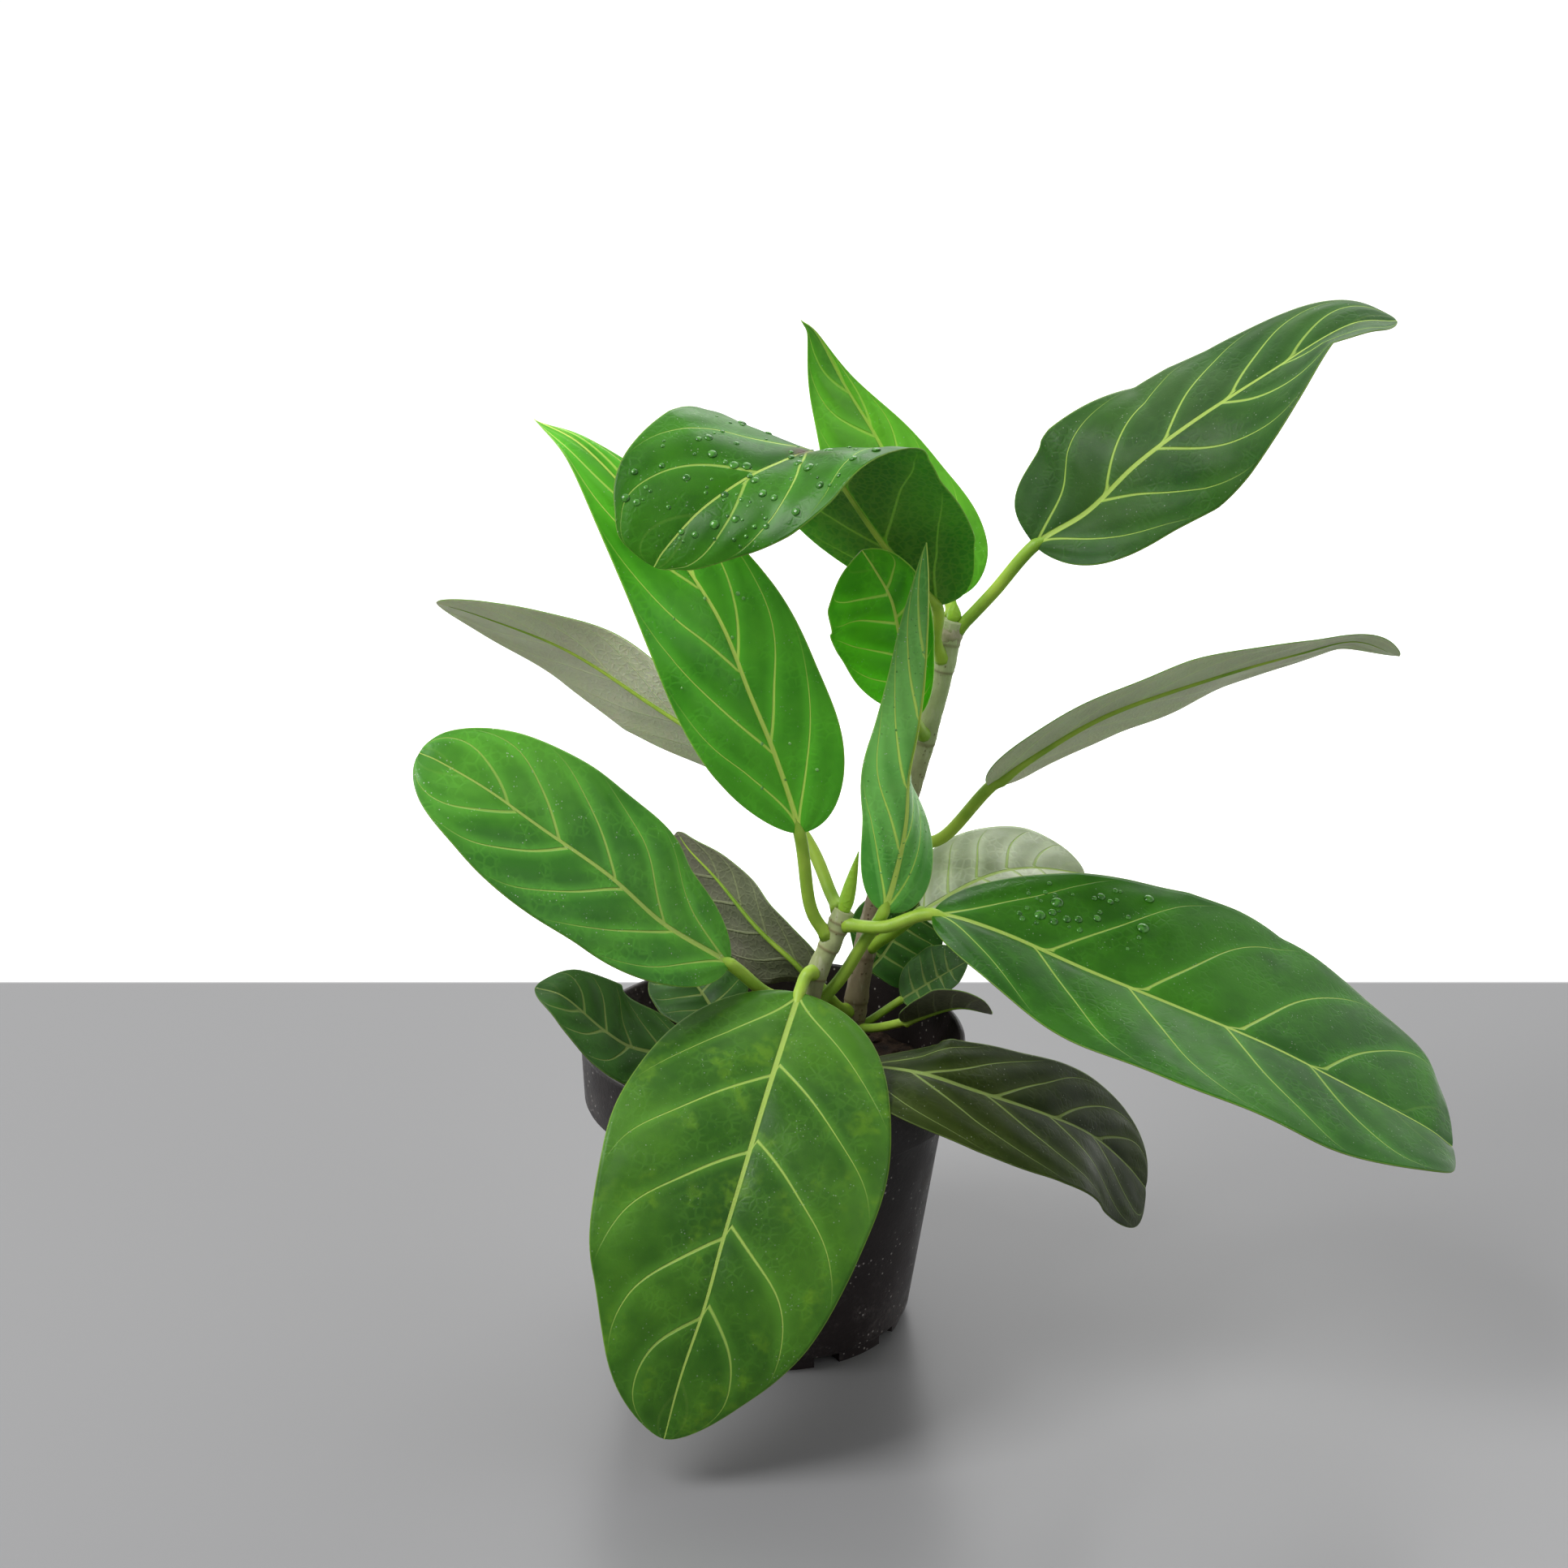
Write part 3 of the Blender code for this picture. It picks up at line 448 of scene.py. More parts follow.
def remap(tree, value, low, high, out_low=0.0, out_high=1.0):
    """A value's way from low to high, eased and held between two outputs."""
    node = tree.nodes.new("ShaderNodeMapRange")
    node.interpolation_type = "SMOOTHSTEP"
    plug(tree, value, node.inputs["Value"])
    for socket, number in (("From Min", low), ("From Max", high), ("To Min", out_low), ("To Max", out_high)):
        plug(tree, number, node.inputs[socket])
    return node.outputs["Result"]


def blend_colours(tree, share, first, second):
    node = tree.nodes.new("ShaderNodeMix")
    node.data_type = "RGBA"
    plug(tree, share, node.inputs["Factor"])
    for value, socket in ((first, node.inputs[6]), (second, node.inputs[7])):
        plug(tree, value if isinstance(value, bpy.types.NodeSocket) else (*value, 1.0), socket)
    return node.outputs[2]


def tint(tree, colour, mask, amount, other):
    """A colour with another laid over it, as strongly as a mask times an amount."""
    return blend_colours(tree, calculate(tree, "MULTIPLY", mask, amount), colour, other)


def speckle(tree, scale, detail=2.0, roughness=0.5, stretch=None):
    """Noise in the object's own metres, where scale is how many waves there are in a metre."""
    place = tree.nodes.new("ShaderNodeTexCoord").outputs["Object"]
    if stretch:
        mapping = tree.nodes.new("ShaderNodeMapping")
        mapping.inputs["Scale"].default_value = stretch
        tree.links.new(place, mapping.inputs["Vector"])
        place = mapping.outputs["Vector"]
    node = tree.nodes.new("ShaderNodeTexNoise")
    node.inputs["Scale"].default_value = scale
    node.inputs["Detail"].default_value = detail
    node.inputs["Roughness"].default_value = roughness
    tree.links.new(place, node.inputs["Vector"])
    return node.outputs["Fac"]


def cells(tree, scale, feature="F1"):
    """Distance to the middle or the edge of small cells."""
    place = tree.nodes.new("ShaderNodeTexCoord").outputs["Object"]
    node = tree.nodes.new("ShaderNodeTexVoronoi")
    node.feature = feature
    node.inputs["Scale"].default_value = scale
    tree.links.new(place, node.inputs["Vector"])
    return node.outputs["Distance"]


def bump(tree, shader, height, depth, strength=1.0):
    node = tree.nodes.new("ShaderNodeBump")
    node.inputs["Distance"].default_value = depth * MM
    node.inputs["Strength"].default_value = strength
    tree.links.new(height, node.inputs["Height"])
    tree.links.new(node.outputs["Normal"], shader.inputs["Normal"])


def uneven_shine(tree, shader, pattern, low, high):
    """Roughness that wanders between two values with a noise pattern."""
    tree.links.new(remap(tree, pattern, 0.3, 0.7, low, high), shader.inputs["Roughness"])


def soft_glow(shader, glow):
    """Light that passes a little way through green tissue."""
    shader.inputs["Subsurface Weight"].default_value = glow
    shader.inputs["Subsurface Radius"].default_value = (0.55, 1.0, 0.12)
    shader.inputs["Subsurface Scale"].default_value = 2.0 * MM


# Materials

def vein_masks(tree, line, taper):
    """How far a place is on a side vein, on the midrib and on the pale margin, each from 0 to 1."""
    phase = attribute(tree, "phase")
    beside = calculate(tree, "MULTIPLY", calculate(tree, "PINGPONG", phase, 0.5), attribute(tree, "pitch"))
    to_margin = attribute(tree, "margin")
    strength = attribute(tree, "strength")
    thick = calculate(tree, "MULTIPLY", remap(tree, attribute(tree, "reach"), 0.0, 0.8, 1.0, taper), line)
    side = remap(tree, calculate(tree, "DIVIDE", beside, thick), 0.45, 1.35, 1.0, 0.0)
    real = calculate(tree, "MULTIPLY", remap(tree, phase, -0.35, -0.25), strength)
    side = calculate(tree, "MULTIPLY", side, real)
    halo = calculate(tree, "MULTIPLY", remap(tree, beside, 0.0, 4.5, 1.0, 0.0), real)
    middle = calculate(tree, "DIVIDE", attribute(tree, "across"), attribute(tree, "rib"))
    midrib = remap(tree, middle, 0.70, 1.15, 1.0, 0.0)
    margin = remap(tree, to_margin, 0.15, 0.55, 1.0, 0.0)
    return side, midrib, margin, halo


def leaf_top(name, dark, fresh, vein, roughness, spots=0.0, dust=0.25, painted_sheen=0.0, glow=0.15,
             shine_level=0.25):
    """The glossy upper side: mottled green, pale veins, a fine net between them, a pale margin and, where
    asked, patches of painted grey sheen.
    """
    material, tree, shader = new_material(name, specular=shine_level)
    side, midrib, margin, halo = vein_masks(tree, 0.62, 0.36)
    colour = blend_colours(tree, remap(tree, speckle(tree, 22.0, 4.0, 0.6), 0.33, 0.66), dark, fresh)
    lighter = tuple(min(1.0, channel * 1.8 + 0.01) for channel in fresh)
    net = remap(tree, cells(tree, 300.0, "DISTANCE_TO_EDGE"), 0.02, 0.20, 1.0, 0.0)
    net = calculate(tree, "MULTIPLY", net, remap(tree, speckle(tree, 90.0), 0.4, 0.65))
    colour = tint(tree, colour, net, 0.14, lighter)
    colour = tint(tree, colour, halo, 0.35, lighter)
    # Painted sheen: grey-brown patches mixed into the green, standing for the grey reflection on the gloss.
    if painted_sheen:
        sheen_patch = remap(tree, speckle(tree, 26.0, 3.0), 0.40, 0.62, 0.0, painted_sheen)
        colour = blend_colours(tree, sheen_patch, colour, (0.115, 0.130, 0.075))
    if spots:
        patch = calculate(tree, "MULTIPLY", remap(tree, speckle(tree, 62.0, 3.0), 0.54, 0.70),
                          remap(tree, speckle(tree, 260.0, 2.0), 0.36, 0.62))
        colour = tint(tree, colour, patch, spots, (0.12, 0.27, 0.012))
    colour = tint(tree, colour, side, 0.85, vein)
    colour = tint(tree, colour, midrib, 0.95, vein)
    colour = tint(tree, colour, margin, 0.35, vein)
    colour = blend_colours(tree, attribute(tree, "scar"), colour, (0.06, 0.022, 0.010))
    grains = calculate(tree, "MULTIPLY", remap(tree, cells(tree, 620.0), 0.10, 0.20, 1.0, 0.0),
                       remap(tree, speckle(tree, 140.0), 0.52, 0.62))
    colour = tint(tree, colour, grains, dust, (0.55, 0.60, 0.50))
    tree.links.new(colour, shader.inputs["Base Color"])
    uneven_shine(tree, shader, speckle(tree, 60.0, 4.0), roughness - 0.06, roughness + 0.08)
    soft_glow(shader, glow)
    lines = calculate(tree, "MAXIMUM", side, midrib)
    height = calculate(tree, "MULTIPLY_ADD", net, -0.22, calculate(tree, "MULTIPLY", lines, -1.0))
    height = calculate(tree, "MULTIPLY_ADD", speckle(tree, 900.0, 2.0), 0.18, height)
    bump(tree, shader, height, 0.25)
    return material


def leaf_under(name, plain, warm, vein, roughness=0.62, glow=0.0):
    """The matt underside: grey-green with a raised pale net of veins."""
    material, tree, shader = new_material(name, specular=0.3)
    side, midrib, margin, halo = vein_masks(tree, 0.7, 0.5)
    colour = blend_colours(tree, remap(tree, speckle(tree, 30.0, 3.0), 0.35, 0.65), plain, warm)
    net = remap(tree, cells(tree, 360.0, "DISTANCE_TO_EDGE"), 0.02, 0.20, 1.0, 0.0)
    colour = tint(tree, colour, net, 0.14, vein)
    colour = tint(tree, colour, halo, 0.12, vein)
    if glow:
        soft_glow(shader, glow)
    colour = tint(tree, colour, side, 0.65, vein)
    colour = tint(tree, colour, midrib, 0.85, vein)
    colour = tint(tree, colour, margin, 0.5, vein)
    tree.links.new(colour, shader.inputs["Base Color"])
    uneven_shine(tree, shader, speckle(tree, 200.0, 3.0), roughness - 0.05, roughness + 0.08)
    lines = calculate(tree, "MAXIMUM", side, midrib)
    height = calculate(tree, "MULTIPLY_ADD", net, 0.30, lines)
    height = calculate(tree, "MULTIPLY_ADD", speckle(tree, 1100.0, 2.0), 0.3, height)
    bump(tree, shader, height, 0.3)
    return material


def petiole_skin():
    material, tree, shader = new_material("petiole_skin", specular=0.4)
    colour = blend_colours(tree, remap(tree, speckle(tree, 45.0, 3.0), 0.35, 0.65),
                           (0.20, 0.38, 0.025), (0.36, 0.54, 0.055))
    pores = remap(tree, cells(tree, 900.0), 0.12, 0.24, 1.0, 0.0)
    colour = tint(tree, colour, pores, 0.25, (0.40, 0.42, 0.20))
    tree.links.new(colour, shader.inputs["Base Color"])
    uneven_shine(tree, shader, speckle(tree, 150.0), 0.42, 0.58)
    bump(tree, shader, speckle(tree, 700.0, 3.0, stretch=(1.0, 1.0, 0.3)), 0.15)
    return material


def stem_skin(name, low_colour, high_colour, ring_colour, crackle):
    """Bark that greens towards the top, with dark rings at the nodes, pores and fine cracks."""
    material, tree, shader = new_material(name, specular=0.25)
    height = attribute(tree, "height")
    colour = blend_colours(tree, remap(tree, height, 0.30, 0.92), low_colour, high_colour)
    mottled = remap(tree, speckle(tree, 130.0, 5.0, 0.65), 0.35, 0.65)
    age = calculate(tree, "MULTIPLY", mottled, remap(tree, height, 0.55, 1.0, 0.28, 0.08))
    colour = blend_colours(tree, age, colour, tuple(channel * 0.45 for channel in low_colour))
    pale = remap(tree, speckle(tree, 420.0, 4.0, stretch=(1.0, 1.0, 0.25)), 0.55, 0.70)
    colour = tint(tree, colour, pale, 0.35, (0.55, 0.54, 0.42))
    pores = calculate(tree, "MULTIPLY", remap(tree, cells(tree, 420.0), 0.12, 0.26, 1.0, 0.0),
                      remap(tree, speckle(tree, 90.0), 0.45, 0.55))
    colour = tint(tree, colour, pores, 0.6, ring_colour)
    colour = tint(tree, colour, attribute(tree, "ring"), 0.7, ring_colour)
    tree.links.new(colour, shader.inputs["Base Color"])
    uneven_shine(tree, shader, speckle(tree, 300.0), 0.6, 0.85)
    cracks = speckle(tree, 260.0, 6.0, 0.7, stretch=(1.0, 1.0, 0.22))
    bump(tree, shader, calculate(tree, "MULTIPLY_ADD", pores, 0.5, cracks), crackle)
    return material


def pot_plastic():
    """Black moulded plastic with dust, pale scuffs and dried splashes."""
    material, tree, shader = new_material("pot_plastic", specular=0.32)
    colour = blend_colours(tree, remap(tree, speckle(tree, 18.0, 4.0), 0.3, 0.7),
                           (0.0095, 0.0068, 0.0068), (0.020, 0.0140, 0.0138))
    dust = calculate(tree, "MULTIPLY", remap(tree, speckle(tree, 28.0, 6.0, 0.7), 0.50, 0.72),
                     remap(tree, speckle(tree, 520.0, 4.0, 0.7), 0.42, 0.66))
    colour = tint(tree, colour, dust, 0.40, (0.30, 0.27, 0.25))
    grit = calculate(tree, "MULTIPLY", remap(tree, cells(tree, 330.0), 0.09, 0.20, 1.0, 0.0),
                     remap(tree, speckle(tree, 60.0), 0.44, 0.60))
    colour = tint(tree, colour, grit, 0.7, (0.46, 0.43, 0.40))
    scuffs = remap(tree, speckle(tree, 160.0, 3.0, stretch=(1.0, 1.0, 0.12)), 0.68, 0.78)
    colour = tint(tree, colour, scuffs, 0.22, (0.30, 0.28, 0.27))
    tree.links.new(colour, shader.inputs["Base Color"])
    clean = remap(tree, speckle(tree, 70.0), 0.3, 0.7, 0.34, 0.46)
    shine = calculate(tree, "MULTIPLY_ADD", dust, 0.35, clean)
    tree.links.new(shine, shader.inputs["Roughness"])
    grain = calculate(tree, "MULTIPLY_ADD", grit, 0.6, speckle(tree, 650.0, 3.0))
    bump(tree, shader, grain, 0.12)
    return material


def soil_mix():
    material, tree, shader = new_material("soil_mix", specular=0.2)
    colour = blend_colours(tree, remap(tree, speckle(tree, 160.0, 5.0, 0.7), 0.35, 0.65),
                           (0.012, 0.007, 0.005), (0.055, 0.032, 0.020))
    fibres = remap(tree, speckle(tree, 520.0, 3.0, stretch=(1.0, 0.25, 1.0)), 0.62, 0.72)
    colour = tint(tree, colour, fibres, 0.5, (0.16, 0.10, 0.06))
    tree.links.new(colour, shader.inputs["Base Color"])
    uneven_shine(tree, shader, speckle(tree, 260.0), 0.75, 0.95)
    bump(tree, shader, speckle(tree, 420.0, 6.0, 0.75), 1.2)
    return material


def water_skin(name, dark, fresh):
    """Water as glossy domes in the green of the leaf that shows through them."""
    material, tree, shader = new_material(name, roughness=0.10, specular=0.45)
    rim = remap(tree, speckle(tree, 500.0), 0.35, 0.65)
    tree.links.new(blend_colours(tree, rim, dark, fresh), shader.inputs["Base Color"])
    bump(tree, shader, speckle(tree, 900.0), 0.02)
    return material


# Leaves

def leaf_points(leaf, stem_lines):
    """A leaf's points from inside the stem to the tip."""
    curve, shares = stem_lines[leaf["stem"]]
    node = read_along(leaf["share"], shares, curve)
    points = [node + np.array(offset, float) for offset in leaf["path"]]
    for bearing, out, above in leaf.get("drape", []):
        angle = math.radians(bearing)
        reach = RIM_RADIUS + out
        points.append(np.array((reach * math.cos(angle), reach * math.sin(angle), POT_HEIGHT + above)))
    stem = STEMS[leaf["stem"]]
    away = unit(points[0] - node)
    return [node + away * (stem_radius(stem, leaf["share"]) * 0.8)] + points


def along_blade(values, u):
    """Values along a list that is spaced evenly from the blade's base to its tip."""
    if len(values) == 1:
        values = [values[0], values[0]]
    return read_along(u, np.linspace(0.0, 1.0, len(values)), np.array(values, float))


def leaf_frame(leaf, curve, measures, distances, u):
    """The places, right and up directions of a leaf at distances along its curve."""
    reach = 1.5
    ahead = read_along(distances + reach, measures, curve)
    behind = read_along(distances - reach, measures, curve)
    forward = unit(ahead - behind)
    right = unit(np.cross(forward, along_blade(leaf["face"], u)))
    return read_along(distances, measures, curve), right, np.cross(right, forward)


def side_values(pair, sides):
    """Pick the left or right value of each pair for each column of a blade."""
    return np.where(sides[None, :] == 0, pair[:, 0:1], pair[:, 1:2])


def blade(leaf, number, stem_lines, rows, columns):
    """Everything that is known at each row and column of a leaf's blade."""
    curve = smooth_curve(leaf_points(leaf, stem_lines))
    measures = lengths_along(curve)
    start = measures[leaf["blade"] * CURVE_STEPS]
    length = measures[-1] - start
    u = 0.5 - 0.5 * np.cos(math.pi * np.linspace(0.0, 1.0, rows))
    s = np.linspace(-1.0, 1.0, columns)
    sides = (s >= 0).astype(int)
    share = np.abs(s)[None, :]
    middle, right, upward = leaf_frame(leaf, curve, measures, start + length * u, u)

    widths = []
    for side in (0, 1):
        rise, fall = leaf["shape"][side]
        peak = rise / (rise + fall)
        widths.append((u / peak) ** rise * ((1.0 - u) / (1.0 - peak)) ** fall)
    width = side_values(np.stack(widths, axis=1), sides)
    full = np.where(sides == 0, *leaf["half"])[None, :]
    uneven = 1.0 + 0.008 * np.sin(2 * math.pi * (3.3 * u + 0.37 * number))[:, None]
    half = np.maximum(full * width * uneven, 0.2)

    bend = np.radians(side_values(along_blade(leaf["fold"], u), sides))
    turn = np.radians(side_values(along_blade(leaf["curl"], u), sides)) * share
    turn = np.where(np.abs(turn) < 1e-6, 1e-6, turn)
    out = half * share * (np.sin(bend + turn) - np.sin(bend)) / turn
    lift = half * share * (np.cos(bend) - np.cos(bend + turn)) / turn
    height, waves = leaf["wave"]
    lift += height * np.sin(2 * math.pi * waves * u[:, None] + sides[None, :]) * share ** 1.5 * width
    small_wave = np.sin(2 * math.pi * 4.3 * u[:, None] + number + 2 * sides[None, :])
    lift += 0.35 * min(1.0, height) * small_wave * share ** 3 * width
    places = (middle[:, None] + right[:, None] * (np.sign(s)[None, :] * out)[:, :, None]
              + upward[:, None] * lift[:, :, None])

    steeper = 1.65 - 3.0 * max(leaf["half"]) / length
    lean = steeper * (VEIN_LEAN * share + VEIN_BEND * share ** 2.5 + VEIN_LOOP * share ** 8)
    lean = lean + 0.006 * np.sin(7.0 * share + 11.0 * u[:, None] + number) * share
    offset = 0.022 * np.sin(2.1 * number + 1.9 * sides)[None, :] + 0.012 * sides[None, :]
    origin = u[:, None] - lean - offset * np.clip(u[:, None] / 0.15, 0, 1)
    phase = np.interp(origin, SIDE_VEINS, range(len(SIDE_VEINS)))
    phase = np.where(origin < 0, origin / SIDE_VEINS[1], phase)
    row_step = np.gradient(places, axis=0)
    column_step = np.gradient(places, axis=1)
    steep = np.hypot(np.gradient(phase, axis=0) / (np.linalg.norm(row_step, axis=2) + 1e-6),
                     np.gradient(phase, axis=1) / (np.linalg.norm(column_step, axis=2) + 1e-6))
    pitch = np.clip(1.0 / (steep + 1e-6), 1.0, 60.0)

    across = half * share
    margin = half * (1.0 - share)
    strength = fade(origin, 0.62, 0.92) * fade(share, 0.70, 1.0)
    cushion = PUCKER * (0.5 - 0.5 * np.cos(2 * math.pi * phase)) * fade(-margin, -9.0, 0.0)
    cushion = cushion * fade(origin, 0.68, 0.92)
    cushion *= fade(-across, -7.0, 0.0)
    scar = np.zeros(phase.shape)
    if leaf["name"] == "leaf_curled":
        apart = (u[:, None] - KINK) / 0.024
        scar = 0.95 * np.exp(-apart ** 2 - (share / 0.13) ** 2)
        creases = np.exp(-(apart / 1.6) ** 2) * fade(share, 0.3, 0.8) * (sides[None, :] == 0)
        cushion = cushion + 0.5 * creases * np.sin(3.2 * apart + 4.0 * share)
        scar = np.clip(scar + 0.22 * creases * np.sin(3.2 * apart + 4.0 * share), 0, 1)
    normals = unit(np.cross(column_step, row_step))
    places = places + normals * cushion[:, :, None]
    rib = 1.0 * (1.0 - u[:, None]) ** 0.8 + 0.25
    return {"u": u, "places": places, "normals": normals, "phase": phase, "pitch": pitch, "margin": margin,
            "across": across, "reach": np.broadcast_to(share, phase.shape), "scar": scar,
            "strength": strength,
            "rib": np.broadcast_to(rib * min(1.0, length / 110.0 + 0.25), phase.shape),
            "curve": curve, "measures": measures, "start": start, "length": length}


def build_leaf(leaf, number, stem_lines, top, under, petiole):
    """A leaf as one piece: the blade's two sides and margin, and the petiole that runs on as its midrib."""
    size = max(leaf["half"])
    rows = 140 if size > 25 else 80
    columns = 61 if size > 25 else 37
    known = blade(leaf, number, stem_lines, rows, columns)
    share = known["reach"]
    thick = BLADE_THICKNESS + (MARGIN_THICKNESS - BLADE_THICKNESS) * share
    groove = MIDRIB_GROOVE * np.exp(-(known["across"] / 1.8) ** 2)
    upper = known["places"] + known["normals"] * (thick / 2 - groove)[:, :, None]
    lower = known["places"] - known["normals"] * (thick / 2)[:, :, None]
    count = rows * columns
    faces = []
    kinds = []
    for row in range(rows - 1):
        for column in range(columns - 1):
            a = row * columns + column
            faces.append((a, a + 1, a + columns + 1, a + columns))
            faces.append((count + a + 1, count + a, count + a + columns, count + a + columns + 1))
            kinds += [0, 1]
        left = row * columns
        right = left + columns - 1
        faces.append((left, left + columns, count + left + columns, count + left))
        faces.append((right + columns, right, count + right, count + right + columns))
        kinds += [0, 0]
    last = (rows - 1) * columns
    for column in range(columns - 1):
        faces.append((column, count + column, count + column + 1, column + 1))
        faces.append((last + column + 1, count + last + column + 1, count + last + column, last + column))
        kinds += [0, 0]

    stalk = np.linspace(0.0, 1.0, 18) * known["start"]
    rib = known["start"] + known["length"] * np.linspace(0.01, 0.97, 60)
    distances = np.concatenate([stalk, rib])
    u = np.clip((distances - known["start"]) / known["length"], 0.0, 1.0)
    middle, right, upward = leaf_frame(leaf, known["curve"], known["measures"], distances, u)
    slim = min(1.0, known["length"] / 70.0 + 0.2)
    foot = 0.35 * np.exp(-(distances / 2.5) ** 2)
    radii = PETIOLE_RADIUS * slim * ((1.0 - u) ** 0.75 * 0.9 + 0.1) * (0.5 + 0.5 * np.exp(-u / 0.05))
    radii = radii + PETIOLE_RADIUS * slim * foot
    sunk = fade(-u, -0.035, 0.0) * (radii + 0.05)
    points, tube_faces = tube(middle - upward * sunk[:, None], right, upward, radii, 12)
    faces += [tuple(2 * count + index for index in face) for face in tube_faces]
    kinds += [2] * len(tube_faces)

    everything = np.vstack([upper.reshape(-1, 3), lower.reshape(-1, 3), points])
    piece = make_piece("visual_" + leaf["name"], everything, faces, [top, under, petiole], kinds,
                       [leaf["name"]])
    for key in ("phase", "pitch", "margin", "across", "reach", "rib", "strength", "scar"):
        flat = known[key].ravel()
        filler = np.zeros(len(points))
        add_attribute(piece, key, np.concatenate([flat, flat, filler]))
    return known


def scatter_drops(name, known, low, high, amount, radii, sides, seed, water):
    """Water drops as flat domes on a leaf's upper side, between two shares of its length and width."""
    chance = random.Random(seed)
    rows, columns = known["phase"].shape
    points = []
    faces = []
    rings, turns = 5, 14
    taken = []
    for _ in range(amount):
        row = int(np.interp(chance.uniform(low, high), known["u"], range(rows)))
        column = int(chance.uniform(*sides) * (columns - 1))
        radius = radii[0] + (radii[1] - radii[0]) * chance.random() ** 1.8
        middle = known["places"][row, column] + known["normals"][row, column] * (BLADE_THICKNESS / 2 - 0.1)
        if any(np.linalg.norm(middle - other) < radius + other_radius for other, other_radius in taken):
            continue
        taken.append((middle, radius))
        normal = known["normals"][row, column]
        across = unit(np.cross(normal, (0.3, 0.9, 0.31)))
        beside = np.cross(normal, across)
        first = len(points)
        for ring in range(rings):
            lean = math.pi / 2 * ring / rings
            for step in range(turns):
                angle = 2 * math.pi * step / turns
                round_about = across * math.cos(angle) + beside * math.sin(angle)
                points.append(middle + round_about * (radius * math.cos(lean))
                              + normal * (radius * 0.45 * math.sin(lean)))
        points.append(middle + normal * (radius * 0.45))
        for ring in range(rings - 1):
            for step in range(turns):
                after = (step + 1) % turns
                a = first + ring * turns
                faces.append((a + step, a + after, a + turns + after, a + turns + step))
        crown = first + (rings - 1) * turns
        for step in range(turns):
            faces.append((crown + step, crown + (step + 1) % turns, first + rings * turns))
        faces.append(tuple(first + step for step in reversed(range(turns))))
    make_piece(name, points, faces, [water], None)


# Stems, buds, soil and pot

def build_stem(key, stem_lines, skin):
    stem = STEMS[key]
    curve, shares = stem_lines[key]
    share = np.linspace(0.0, 1.0, STEM_RINGS)
    places = read_along(share, shares, curve)
    forward, across, upward = directions_along(places)
    nodes = [leaf["share"] for leaf in LEAVES if leaf["stem"] == key]
    ring = np.zeros(STEM_RINGS)
    radii = stem_radius(stem, share)
    for node in nodes:
        apart = (share - node) * stem["height"]
        radii = radii * (1.0 + NODE_SWELLING * np.exp(-(apart / 2.6) ** 2))
        line = np.exp(-((apart + 2.2) / 0.55) ** 2)
        ring = np.maximum(ring, line)
        radii = radii + 0.22 * line
    radii = radii * (1.0 + 0.22 * np.exp(-share * stem["height"] / 5.0))
    sunk = places[0] - forward[0] * STEM_SUNK
    places = np.vstack([sunk, places])
    across = np.vstack([across[:1], across])
    upward = np.vstack([upward[:1], upward])
    radii = np.concatenate([radii[:1], radii])
    ring = np.concatenate([[0.0], ring])
    height = np.concatenate([[0.0], share])
    points, faces = tube(places, across, upward, radii, STEM_SIDES)
    middles = np.repeat(places, STEM_SIDES, axis=0)
    for index, point in enumerate(points):
        rough = noise.fractal(Vector(point * np.array([0.5, 0.5, 0.16])), 1.0, 2.0, 4)
        points[index] = point + (point - middles[index]) * (0.055 * rough)
    piece = make_piece("visual_stem_" + key, points, faces, [skin], None,
                       ["stem_" + key])
    add_attribute(piece, "ring", np.repeat(ring, STEM_SIDES) * 0.85)
    add_attribute(piece, "height", np.repeat(height, STEM_SIDES))


def build_bud(key, stem_lines, skin):
    """A pointed sheath, a little twisted, that opens from the stem's top."""
    stem = STEMS[key]
    curve, shares = stem_lines[key]
    top = read_along(1.0, shares, curve)
    line = unit(top - read_along(0.95, shares, curve))
    direction = unit(line + np.array(stem["bud_lean"]))
    steps = np.linspace(0.0, 1.0, BUD_RINGS)
    width = np.interp(steps, [share for share, _ in BUD_SHEATH], [wide for _, wide in BUD_SHEATH])
    width = np.convolve(np.pad(width, 3, mode="edge"), np.ones(7) / 7, mode="valid")
    places = top + direction * (steps * stem["bud"])[:, None]
    across = np.tile(unit(np.cross(direction, np.array([0.0, 1.0, 0.0]))), (BUD_RINGS, 1))
    upward = np.tile(np.cross(across[0], direction), (BUD_RINGS, 1))
    points, faces = tube(places, across, upward, BUD_RADIUS * width, BUD_SIDES)
    middles = np.repeat(places, BUD_SIDES, axis=0)
    angles = np.tile(np.arange(BUD_SIDES) / BUD_SIDES, BUD_RINGS) * 2 * math.pi
    turns = angles + np.repeat(steps, BUD_SIDES) * BUD_TWIST
    crease = 1.0 - 0.16 * np.exp(-((np.mod(turns, 2 * math.pi) - math.pi) / 0.35) ** 2)
    points = middles + (points - middles) * crease[:, None]
    make_piece("visual_bud_" + key, points, faces, [skin], None, ["bud_" + key])


def build_collar(stem_lines, skin):
    """The papery scar collar that is left round the back stem under its top leaf."""
    curve, shares = stem_lines["back"]
    share = np.linspace(0.955, 0.985, 14)
    places = read_along(share, shares, curve)
    _, across, upward = directions_along(places)
    bulge = np.sin(math.pi * np.linspace(0.0, 1.0, 14)) ** 2
    flare = stem_radius(STEMS["back"], 0.97) + 0.25 + 0.5 * bulge
    points, faces = tube(places, across, upward, flare, STEM_SIDES)
    for index, point in enumerate(points):
        ragged = noise.fractal(Vector(point * 0.6), 1.0, 2.0, 3)
        points[index] = point + np.array([0.0, 0.0, 0.9]) * ragged
    make_piece("scar_collar", points, faces, [skin], None)


